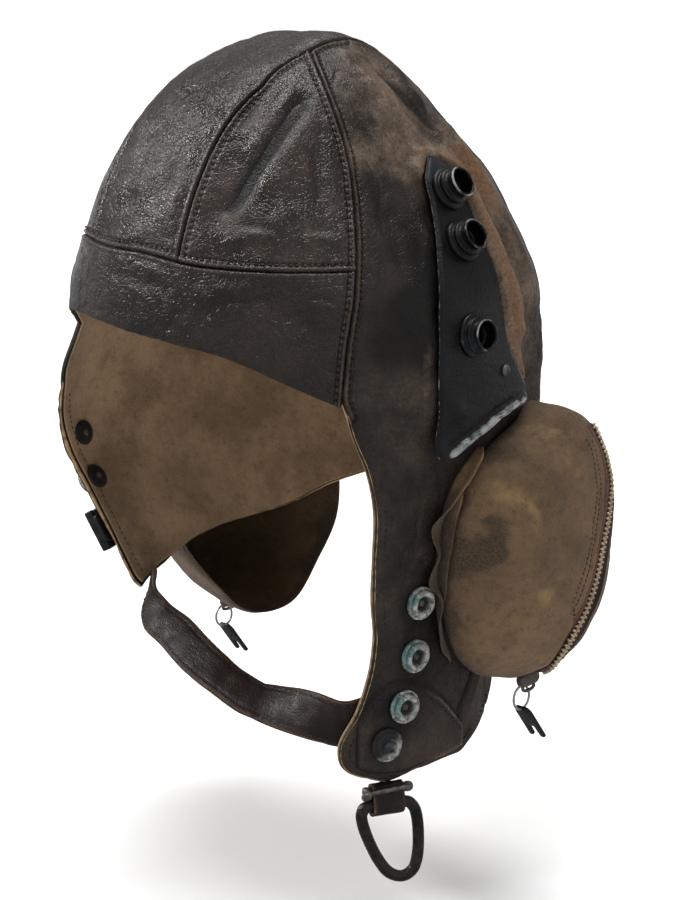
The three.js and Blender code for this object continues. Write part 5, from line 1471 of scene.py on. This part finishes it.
def buildZip(side, word):
    # a tape along the pocket with two rows of small bevelled teeth that take turns
    grid = pocketGrid(side)
    columns = np.linspace(-1, 1, 15) * zipLook["tape"]
    rows = []
    for shift in columns:
        section, corner = zipLine(grid, shift, count=260)
        face, out, relief, _ = pocketSurface(side, section, corner)
        hump = zipLook["lift"] - 0.35 * abs(shift) / zipLook["tape"]
        rows.append(face + out * (relief + hump + 0.1 * lattice(face, 5, 7))[:, None])
    outer = np.array(rows).transpose(1, 0, 2)
    _, out, _, _ = pocketSurface(side, *zipLine(grid, count=260))
    across = columns[None] / zipLook["tape"] * np.ones((260, 1))
    marks = dict(groove=ramp(across, -0.45, -0.7), wear=ramp(across, 0.8, 1) * 0.5,
                 tone=-0.2 + 0 * across)
    inner = outer - out[:, None] * zipLook["wall"]
    makeObject(f"zipTape.{word}", [pillow(outer, inner, marks)], zipTape)
    middle, = resample(outer[:, 7], 0.1)
    run = alongLine(middle)
    count = int(run[-1] / zipLook["pitch"] * 2)
    at = (np.arange(count) + 0.5) * run[-1] / count
    centre = interpolate(run, middle, at)
    along = unit(interpolate(run, middle, at + 0.6) - interpolate(run, middle, at - 0.6))
    normal = unit(interpolate(alongLine(outer[:, 7]), out, at))
    across = unit(np.cross(normal, along))
    hand = np.where(np.arange(count) % 2, 0.62, -0.62)[:, None]
    long, wide, tall = zipLook["tooth"]
    levels = [(0.0, 1.0), (0.6, 1.0), (0.88, 0.86), (1.0, 0.55)]
    ring = [(-1, -0.6), (-0.6, -1), (0.6, -1), (1, -0.6), (1, 0.6), (0.6, 1), (-0.6, 1), (-1, 0.6)]
    tooth = [[(x * s * long / 2, y * s * wide / 2, h * tall) for x, y in ring] for h, s in levels]
    place = (way[:, None, None] for way in (centre + across * hand, along, across, normal))
    points = placed(tooth, place)
    teeth = (points, beads(count, 4, 8))
    makeObject(f"zipTeeth.{word}", [teeth], zipBrass, [f"zip_{word}"])


finRows = table(
    "corner lean height", (5.35, 1.0, 3.0), (5.6, 1.4, 6.5), (6.0, 1.2, 7.6), (6.4, 1.5, 7.2),
    (6.8, 2.4, 6.2), (7.1, 5.0, 5.0), (7.3, 6.8, 4.2), (7.5, 6.0, 4.4), (7.75, 3.6, 5.0),
    (8.0, 4.6, 4.6), (8.25, 5.4, 4.4), (8.5, 2.2, 5.2), (8.8, 1.8, 5.0), (9.15, 3.2, 4.2),
    (9.5, 2.6, 3.0), (9.9, 1.2, 1.8), (10.3, 0.3, 0.8))
innerFinRows = table(
    "corner lean height", (6.1, 0.3, 2.0), (6.5, 0.2, 6.4), (7.0, 0.2, 7.6), (7.6, 0.2, 7.4),
    (8.2, 0.3, 6.2), (8.7, 0.4, 4.6), (9.1, 0.6, 2.4))


def buildSeamFin(side, word):
    # two thin wavy welts with pale rims stand along the front seam, each leaning its own way
    parts = []
    for rows, wall, seed in ((finRows, 1.3, 121), (innerFinRows, 0.9, 127)):
        corner = np.linspace(rows["corner"][0], rows["corner"][-1], 150)
        turn, rise = placeAtSide(side, *pocketSpread(*cubic(pocketOutline, corner)))
        held = side * turn < tableValue(flapEdges[word], "elev", "rear", rise) - 3
        end = corner[held][-1]
        corner = np.linspace(rows["corner"][0], end, 150)
        base = footPoint(side, corner, 1.0, 0)
        lean = tableValue(rows, "corner", "lean", corner) + 0.35 * lattice(base, 6, seed)
        tall = tableValue(rows, "corner", "height", corner) + 0.4 * lattice(base, 5, seed + 1)
        tall = tall * np.clip((end - corner) / 0.5, 0.15, 1)
        sheets = []
        for gap in (wall + 0.35, 0.35):
            layers = []
            for h in np.linspace(0, 1, 10):
                out = gap + lean * h ** 1.6 + 0.5 * h * lattice(base, 9, seed + 2)
                layers.append(footPoint(side, corner, 1 + out / pocket["halfLength"],
                                        -0.3 + tall * h * (1 - 0.12 * h * lean / 5)))
            sheets.append(np.array(layers))
        h = np.linspace(0, 1, 10)[:, None] + 0 * corner
        # painted shade: the welts are darker along their lower stretch, where their faces turn away
        # from the light, and lighter near the top
        top = ramp(corner, 7.2, 6.4)
        tone = -0.7 + 1.15 * top + 0.3 * lattice(sheets[0], 6, seed + 3)
        edge = ramp(h, 0.9, 1) * (0.3 + 0.3 * top)
        # the groove mark is painted shade along the welts' foot
        parts.append(pillow(*sheets, dict(edge=edge, groove=bell(h, 0.15) * 0.8,
                                          wear=0.35 * top * h, tone=tone)))
    makeObject(f"pocketSeam.{word}", parts, suede, [f"pocket_seam_{word}"])


for word, side in hands:
    buildPocket(side, word)
    buildSeamFin(side, word)
    buildZip(side, word)
stage("ear pockets")


# patch and press studs
patchLook = dict(seat=0.35, wall=1.35, rows=46, columns=90)
angle = mix(*patchRows["angle"][[0, -1]], shares(patchLook["columns"], 0.35))[None]
row = shares(patchLook["rows"], 0.4)[:, None]
elev = mix(*(tableValue(patchRows, "angle", key, angle) for key in ("hem", "top")), row)
angle = angle + 0 * elev
face = facePoint(angle, elev)
rimLines = [evenly(line) for line in (face[-1], face[0], face[:, 0], face[:, -1])]
away = np.min([nearest(face, line)[0] for line in rimLines], axis=0)
bulge = 0.3 * lattice(face, 11, 131) + 0.12 * lattice(face, 4, 132) - 0.5 * bell(away, 1.4)
outer = skin(angle, elev, patchLook["seat"] + patchLook["wall"] + bulge - 0.35)
inner = skin(angle, elev, patchLook["seat"] - 0.3 + 0 * angle)
# the right rim is lighter as a painted highlight; the other rims get a dark outline
rightRimHighlight = ramp(angle, 80, 86)
tone = -0.12 + 0.2 * lattice(face, 9, 134)
for halo in studHalos[2:]:
    tone = tone - 0.4 * disc(spotGap(face, *halo), 9.5)
marks = dict(wear=0.75 * bell(away, 0.7) * rightRimHighlight, tone=tone,
             groove=0.8 * bell(away, 0.8) * (1 - rightRimHighlight))
makeObject("flapPatch", [pillow(outer, inner, marks)], sideLeather, ["flap_patch"])
thread = seamThread(rimLines[0], threadRows["patch"], skin(76, -65), 133, 1.75)
makeObject("patchStitching", [thread], brownThread)

studPlaces = [("press_stud_1", 1, 78.4, -54.6, 0), ("press_stud_2", 1, 77.1, -59.3, 0),
              ("press_stud_3", 1, 73, -62.5, 1.7), ("press_stud_4", 1, 67.5, -64.4, 1.7),
              ("far_stud_1", -1, 66, -33, 0), ("far_stud_2", -1, 64, -42, 0)]
studProfile = [(0, -0.5), (6.5, -0.5), (6.9, 0.1), (6.95, 0.7), (6.7, 1.25), (6.2, 1.5), (5.9, 1.45),
               (5.75, 1.6), (5.7, 2.0), (5.5, 2.6), (5.0, 2.95), (4.3, 3.05), (3.7, 2.9), (3.35, 2.5),
               (3.2, 1.7), (3.0, 1.1), (2.4, 0.85), (1.5, 0.8), (1.2, 1.2), (0.7, 1.35), (0, 1.35)]
backProfile = [(0, -0.4), (5.0, -0.4), (5.5, 0), (5.6, 0.4), (5.3, 0.85), (4.3, 1.2), (2.6, 1.4),
               (1.5, 1.4), (1.4, 1.55), (0.7, 1.65), (0, 1.65)]
for name, side, angle, elev, lift in studPlaces:
    profile = np.array(studProfile)
    points, faces = lathe(profile, 44)
    place = frameAt(side, angle, elev, lift + 0.4)
    pits = lattice(points + angle * 7, 2.2, 141)
    points[..., 2] += 0.12 * pits * (profile[:, 1] > 0.5)
    # painted shade: the cup inside the stud and the small step round its cap are darkened
    hollow = ramp(profile[:, 0], 3.35, 2.95) * (profile[:, 1] > 0) * (profile[:, 1] < 2.6)
    hollow = hollow * np.where(profile[:, 0] < 1.3, 0.8, 1)
    groove = np.maximum(hollow, 0.7 * bell(profile[:, 0] - 5.85, 0.15))
    blots = 0.5 * lattice(points + angle * 3, 3, 142)
    left = -points[..., 0] / 6.9 + 0.35 * points[..., 1] / 6.9 + blots
    tone = np.clip(left * 1.4 - 0.5, -1.2, 0.9) * (1 - 0.6 * hollow)
    if name == "press_stud_4":
        tone = tone + 0.9 * hollow
        worn = np.clip(0.15 + points[..., 0] / 6.5 - points[..., 1] / 6.5, 0, 1)
        groove = np.maximum(hollow * (1 - 0.5 * worn), (1 - 0.95 * worn) * (profile[:, 0] > 3.2))
    piece = fitted((points, faces), place, groove=groove + 0 * tone, tone=tone)
    makeObject(camel(name), [piece], oldSteel, [name])
    if side < 0:
        points, faces = lathe(backProfile, 36)
        at, across, up, out = frameAt(side, angle, elev, -(leather["wall"] + leather["gap"] + 1.2))
        mark = np.broadcast_to(0.9 * (np.array(backProfile)[:, 0] < 1.45), points.shape[:2])
        piece = fitted((points, faces), (at, across, -up, -out), edge=mark)
        makeObject(f"{camel(name)}Back", [piece], blackPlastic, [f"{name}_back"])
stage("patch and studs")


# chin strap
strap = dict(width=18, wall=2.2, seat=1, farSeat=3.1, sag=12, bow=28, rows=320,
             columns=26, near=(60, -63), far=(-63, -60.5), hidden=(92, 84, 76, 68))
strapRows = table(
    "at sag bow width turn", (0, 0, 0, 1, 0), (0.03, 0.08, 0.2, 1, 0), (0.075, 0.13, 0.3, 1, 8),
    (0.14, 0.28, 0.36, 1, 24), (0.235, 0.59, 0.4, 0.98, 40), (0.31, 0.82, 0.44, 0.95, 52),
    (0.37, 0.94, 0.52, 0.92, 60), (0.47, 0.96, 0.57, 0.9, 64), (0.56, 0.96, 0.58, 0.9, 60),
    (0.68, 1.04, 0.49, 0.9, 56), (0.8, 1.1, 0.37, 0.88, 54), (0.9, 1.1, 0.34, 0.8, 46),
    (0.965, 0.86, 0.22, 0.66, 34), (1, 0, 0, 0.42, 10))


def strapStations():
    # hidden stretch inside the near flap, then the hanging line between the two ends
    depth = leatherDepth + strap["seat"] + strap["wall"] / 2
    near = skin(*map(float, strap["near"]), -depth)
    far = skin(*map(float, strap["far"]), -(leatherDepth + strap["farSeat"] + strap["wall"] / 2))
    hidden = np.array(strap["hidden"], float)
    first = skin(hidden, np.full(4, float(strap["near"][1])), -depth)
    line = near + (far - near) * strapRows["at"][:, None]
    line[:, 2] -= strapRows["sag"] * strap["sag"]
    line[:, 1] -= strapRows["bow"] * strap["bow"]
    extra = np.stack([strapRows["width"], strapRows["turn"]], -1)
    return np.concatenate([first, line]), np.concatenate([[[1, 0]] * 4, extra])


line, extra = strapStations()
line, extra = smoothLine(line, 900), smoothLine(extra, 900)
line, extra = resample(line, alongLine(line)[-1] / (strap["rows"] - 1), extra)
along = unit(np.gradient(line, axis=0))
upright = unit(np.array([0, 0, 1.0]) - along * along[:, 2:])
turn = np.radians(extra[:, 1:])
upright = upright * np.cos(turn) + np.cross(along, upright) * np.sin(turn)
outward = np.cross(upright, along)
run = alongLine(line)
across = (shares(strap["columns"], 0.4) * 2 - 1)[None]
spread = across * extra[:, :1] * strap["width"] / 2
wander = lattice(np.stack([run, 0 * run, 0 * run], -1), 22, 151)[:, None] * 0.5
face = line[:, None] + upright[:, None] * (spread + wander)[..., None]
cup = -0.5 * across ** 2 + 0.35 * rough(face, 9, 152, 2)
knock = 0.8 * bell(run - run[-1] * 0.55, 5)[:, None] * (1 - across ** 2)
dip = -0.25 * np.exp(-(((1 - np.abs(across)) * 9 - 2.2) ** 2) / 0.5)
half = strap["wall"] / 2 * (1 - 0.25 * across ** 8)
outer = face + outward[:, None] * (half + cup + knock + dip)[..., None]
inner = face - outward[:, None] * (half - cup - knock)[..., None]
marks = dict(edge=0.6 * np.abs(across) ** 30 + 0 * spread, wear=0.5 * np.abs(across) ** 14 + 0 * spread,
             tone=-0.1 + 0.2 * lattice(face, 25, 153))
strapSheet = pillow(outer, inner, marks, 0.8)
makeObject("chinStrap", [strapSheet], strapLeather, ["chin_strap"])
parts = []
for column in (3, -4):
    start = int(0.2 * len(line))
    parts.append(stitches(outer[start:-14, column], outward[start:-14], dict(threads, pitch=3.4), 155))
makeObject("strapStitching", parts, brownThread)
stage("chin strap")


# buckle
buckle = dict(width=29, height=37, wire=4.8, bar=1.3, barLength=17,
              tabWidth=13.5, tabWall=1.5, clearance=0.4, toLoop=6.2, drop=3.7, shift=1,
              turn=22, lean=7.5, angle=68)
barWay = np.array([np.sin(np.radians(buckle["turn"])), np.cos(np.radians(buckle["turn"])), 0])
hemPoint = skin(buckle["angle"], flapEdges["left"]["elev"][0], -leather["wall"] / 2)
bucklePlace = (hemPoint + barWay * buckle["shift"] - [0, 0, buckle["drop"]], barWay,
               np.array([0, 0, 1.0]), np.cross(barWay, [0, 0, 1.0]))
reach = buckle["barLength"] / 2
bar = [(0, -reach - 1.6), (1.5, -reach - 1.6), (2.1, -reach - 1.1), (2.1, -reach + 0.4),
       (1.5, -reach + 0.9), (1.3, -reach + 1.2), (1.3, reach - 1.5), (1.5, reach - 1.0),
       (2.0, reach - 0.2), (2.2, reach + 0.8), (2.1, reach + 1.9), (1.6, reach + 2.8),
       (0.8, reach + 3.3), (0, reach + 3.5)]
points, faces = lathe(bar, 28)
points = points[..., [2, 1, 0]] * [1, 1, -1]
points[..., 1:] *= 1 + 0.22 * lattice(points, 2.2, 160)[..., None] * (points[..., :1] < -3)
mark = 0.5 * lattice(points, 3, 161)
strip = np.array([(-9.6, -2.0, 0.6), (-9.4, -0.6, 3.0), (-8.2, 0.6, 4.0), (-3, 1.0, 4.2), (3, 1.3, 4.2),
                  (7.8, 1.6, 3.9), (9.0, 1.4, 2.6), (9.2, 1.2, 0.8)])
way = evenly(smoothLine(strip, 120), 0.2)
girth = 1.0 + 0.25 * lattice(way, 2.0, 162) + 0.7 * bell(way[:, 0] + 9.3, 0.7)
bracket = tube(way, girth, 14)
crumbs = -0.3 + 0.5 * lattice(bracket[0], 2, 164)
parts = [fitted((points, faces), bucklePlace, tone=mark), fitted(bracket, bucklePlace, tone=crumbs)]
makeObject("buckleBar", parts, plainSteel, ["buckle_bar"])


def tabSection(grow, count=64):
    # a rounded band round the bar's hole above and the loop's hole below, grown by a wall
    upper = buckle["bar"] + buckle["clearance"] + grow
    lower = buckle["wire"] / 2 + buckle["clearance"] + grow
    t = np.linspace(0, np.pi, count // 2)
    top = np.stack([np.cos(t) * upper, np.sin(t) * upper], -1)
    low = np.stack([-np.cos(t) * lower, -np.sin(t) * lower - buckle["toLoop"]], -1)
    return np.concatenate([top, low])


def tabSheet():
    # two bands along the bar, outer and inner, joined at their ends into one ring
    section = np.array([tabSection(0.02), tabSection(buckle["tabWall"])])
    waist = 1 - 0.55 * bell(section[..., 1] + buckle["toLoop"] / 2, 1.4)
    section[..., 0] *= np.where(np.arange(2)[:, None] == 1, np.maximum(waist, 0.62), 1)
    width = (shares(20, 0.4) * 2 - 1) * buckle["tabWidth"] / 2
    inner, outer = (np.stack(np.broadcast_arrays(width[:, None], ring[:, 1], ring[:, 0]), -1)
                    for ring in section)
    outer = outer + unit(outer - inner) * (0.2 * lattice(outer, 4, 163))[..., None]
    ring = np.concatenate([outer, inner[::-1]])
    rim = np.abs(np.concatenate([width, width[::-1]]) / width.max()) ** 14
    rim = np.repeat(rim[:, None], ring.shape[1], 1)
    shape = ring, [gridFaces(len(ring), ring.shape[1], True, True)]
    return fitted(shape, bucklePlace, edge=rim * 0.5, wear=rim * 0.9)


makeObject("buckleTab", [tabSheet()], strapLeather, ["buckle_tab"])
outline = np.array([(0.62, 0), (0.93, 0.07), (1.0, 0.22), (0.92, 0.46), (0.74, 0.72), (0.46, 0.92),
                    (0, 1), (-0.46, 0.92), (-0.74, 0.72), (-0.92, 0.46), (-1, 0.22), (-0.93, 0.07),
                    (-0.62, 0)])
halfAcross, fall = (buckle["width"] - buckle["wire"]) / 2, buckle["height"] - buckle["wire"]
ring = np.stack([outline[:, 0] * halfAcross + outline[:, 1] * buckle["lean"],
                 -buckle["toLoop"] - outline[:, 1] * fall, 0 * outline[:, 0]], -1)
at = np.linspace(0, len(ring), 240, endpoint=False)
loop = np.stack(cubic(ring, at), -1)
straight = np.clip(at - 12, 0, 1)[:, None]
loop = np.where(at[:, None] > 12, mix(ring[12], ring[0], straight), loop)
size = buckle["wire"] / 2 * (1 + 0.03 * lattice(loop, 6, 165))
points, faces = tube(loop, size, 28, closed=True)
mark = np.clip(0.5 * lattice(points, 5, 166) + 0.2, 0, 0.5)
makeObject("buckleLoop", [fitted((points, faces), bucklePlace, tone=mark, edge=mark * 0.5)],
           bronze, ["buckle_loop"], body="buckle")
stage("buckle")


# zip sliders, rings and pulls
slider = dict(section=1.35, corner=12.2, length=12, height=4, wall=3.4, seat=1.1,
              ringForward=4.6, slack=-1.7, ring=5.0, wire=1.1, pullLength=19, pullWidth=8.4,
              pullWall=1.6, lean=38, fork=0.62)


def prism(outline, half, bevel=0.35):
    # an outline stood up to a thickness, its rims drawn in by a bevel; each end is one face
    outline = np.asarray(outline, float)
    towards = unit(np.roll(outline, -1, 0) - np.roll(outline, 1, 0))
    inwards = np.stack([-towards[:, 1], towards[:, 0]], -1)
    levels = [(-half, bevel), (-half + bevel * 0.35, bevel * 0.35), (-half + bevel, 0),
              (half - bevel, 0), (half - bevel * 0.35, bevel * 0.35), (half, bevel)]
    rings = [np.concatenate([outline + inwards * draw, np.full((len(outline), 1), z)], -1)
             for z, draw in levels]
    return np.array(rings), beads(1, len(rings), len(outline))


def rounded(corners, radius, steps=5):
    # a flat outline with each corner drawn as a small curve
    corners = np.asarray(corners, float)
    before, after = np.roll(corners, 1, 0) - corners, np.roll(corners, -1, 0) - corners
    reach = np.minimum(radius, 0.45 * np.minimum(np.linalg.norm(before, axis=1),
                                                 np.linalg.norm(after, axis=1)))[:, None]
    a, b = corners + unit(before) * reach, corners + unit(after) * reach
    t = np.linspace(0, 1, steps)[None, :, None]
    curve = a[:, None] * (1 - t) ** 2 + corners[:, None] * 2 * t * (1 - t) + b[:, None] * t ** 2
    return curve.reshape(-1, 2)


def buildPull(side, word):
    # slider and its arch on the pocket, the wire ring under it, the forked pull in the ring
    grid = pocketGrid(side)
    section, corner = np.array(slider["section"]), np.array(slider["corner"])
    normal = pocketNormal(grid, section, corner, side)
    lengthways = unit(np.array([0, 1.0, 0]) - normal * normal[1])
    sideways = np.cross(lengthways, normal)
    face = pocketPoint(grid, section, corner)
    middle = face + normal * (slider["seat"] + slider["height"] / 2)
    place = (middle, lengthways, normal, sideways)
    half, tall = slider["length"] / 2, slider["height"] / 2
    body = rounded([(-half, -tall - 0.8), (half, -tall - 0.8), (half, tall * 0.2), (half * 0.55, tall),
                    (-half * 0.75, tall), (-half, tall * 0.3)], 1.6)
    parts = [fitted(prism(body, slider["wall"] / 2, 0.5), place, tone=0.5)]
    arch = np.array([(-4.4, tall - 0.4), (-4.6, tall + 0.9), (-3, tall + 1.7), (0.4, tall + 1.7),
                     (2.4, tall + 1.0), (2.8, tall - 0.4)])
    arch = smoothLine(np.concatenate([arch, 0 * arch[:, :1]], 1), 40)
    parts.append(fitted(tube(arch, 0.75, 10), place, edge=0.3))
    makeObject(f"zipSlider.{word}", parts, plainSteel, [f"zip_slider_{word}"])
    foot = middle - lengthways * slider["ringForward"]
    drop = slider["height"] / 2 + slider["ring"] + slider["wire"] / 2 + 0.3 + slider["slack"]
    turn = np.linspace(0, 2 * np.pi, 56, endpoint=False)
    ring = foot - [0, 0, drop] + slider["ring"] * np.stack([0 * turn, np.cos(turn), np.sin(turn)], -1)
    points, faces = tube(ring, slider["wire"] / 2, 12, closed=True)
    makeObject(f"pullRing.{word}", [(points, faces, {"tone": -0.3})], brightSteel,
               [f"pull_ring_{word}"])
    drop = drop + slider["ring"] - slider["wire"] / 2 - 0.3
    w, long = slider["pullWidth"] / 2, slider["pullLength"]
    fork = rounded([(-w * 0.7, 0), (w * 0.7, 0), (w, -2.5), (w, -long), (w * 0.42, -long),
                    (w * 0.3, -long * slider["fork"]), (-w * 0.3, -long * slider["fork"]),
                    (-w * 0.42, -long), (-w, -long), (-w, -2.5)][::-1], 0.9)
    points, faces = prism(fork, slider["pullWall"] / 2, 0.4)
    lean = np.radians(slider["lean"])
    swing = points[..., [0, 2, 1]] * [1, -1, 1]
    y = swing[..., 1] * np.cos(lean) - swing[..., 2] * np.sin(lean)
    z = swing[..., 1] * np.sin(lean) + swing[..., 2] * np.cos(lean)
    turned = np.stack([swing[..., 0], y, z], -1) + foot - [0, 0, drop]
    parts = [(turned, faces, {"edge": 0.3 * (np.abs(points[..., 2]) < 0.5)})]
    makeObject(f"pullTab.{word}", parts, blackPlastic, [f"pull_tab_{word}"])


for word, side in hands:
    buildPull(side, word)


# clip outside the right flap
clip = dict(length=19, width=6, depth=4.5, slot=1.6, base=(10, 13, 1.2), seat=0.8,
            angle=59, elev=-50.5)
w, h, wall = clip["base"]
base = rounded([(-w / 2, -h / 2), (w / 2, -h / 2), (w / 2, h / 2), (-w / 2, h / 2)], 2.2)
place = frameAt(-1, clip["angle"], clip["elev"], clip["seat"] + wall / 2 - 0.1)
piece = fitted(prism(base, wall / 2 + 0.25, 0.35), place, edge=0.2)
makeObject("clipBase", [piece], blackPlastic, ["clip_base"])
half, long, slot = clip["width"] / 2, clip["length"] / 2, clip["slot"] / 2
shape = rounded([(-half, -long), (half, -long), (half, long), (slot, long), (slot, 0), (-slot, 0),
                 (-slot, long), (-half, long)], 1.0)
place = frameAt(-1, clip["angle"], clip["elev"], clip["seat"] + wall + 0.35 + clip["depth"] / 2)
piece = fitted(prism(shape, clip["depth"] / 2, 0.7), place, edge=0.25)
makeObject("sideClip", [piece], blackPlastic, ["side_clip"])
stage("pulls and clip")


# floor and light
room = dict(floor=-0.352, size=60.0, above=0.26, horizon=1.0, fade=(0.035, 0.09))
suns = dict(keyLight=(-54, 37, 16, 2.4), topLight=(30, 97, 40, 2.8), fillLight=(80, 35, 60, 0.3))


def sun(name, azimuth, elevation, width, strength):
    # a sun light from a direction, its disc width degrees wide
    light = bpy.data.lights.new(name, "SUN")
    light.angle, light.energy = np.radians(width), strength
    return aimed(light, name, direction(azimuth, elevation) * 3, (0, 0, 0))


half = room["size"] / 2
floorMesh = bpy.data.meshes.new("floor")
corners = ((-half, -half), (half, -half), (half, half), (-half, half))
floorMesh.from_pydata([(x, y, room["floor"]) for x, y in corners], [], [(0, 1, 2, 3)])
floor = bpy.data.objects.new("floor", floorMesh)
bpy.context.scene.collection.objects.link(floor)
paper = Shader("paper")
floorMesh.materials.append(paper.finish((0.98, 0.98, 0.98), 0.9))
floor.visible_glossy = False

for name, numbers in suns.items():
    sun(name, *numbers)
world = bpy.data.worlds.new("room")
world.use_nodes = True
sky = world.node_tree
kinds = ("ShaderNodeTexCoord", "ShaderNodeSeparateXYZ", "ShaderNodeMath", "ShaderNodeMapRange")
ways, height, level, fade = (sky.nodes.new(kind) for kind in kinds)
level.operation = "ABSOLUTE"
for socket, value in zip(fade.inputs[1:5], (*room["fade"], room["horizon"], room["above"])):
    socket.default_value = value
back = sky.nodes["Background"].inputs
for start, end in (
        (ways.outputs["Generated"], height.inputs[0]), (height.outputs["Z"], level.inputs[0]),
        (level.outputs[0], fade.inputs[0]), (fade.outputs[0], back["Strength"])):
    sky.links.new(start, end)
back["Color"].default_value = (1, 1, 1, 1)
bpy.context.scene.world = world
bpy.context.scene.view_settings.view_transform = "Standard"
stage("floor and light")
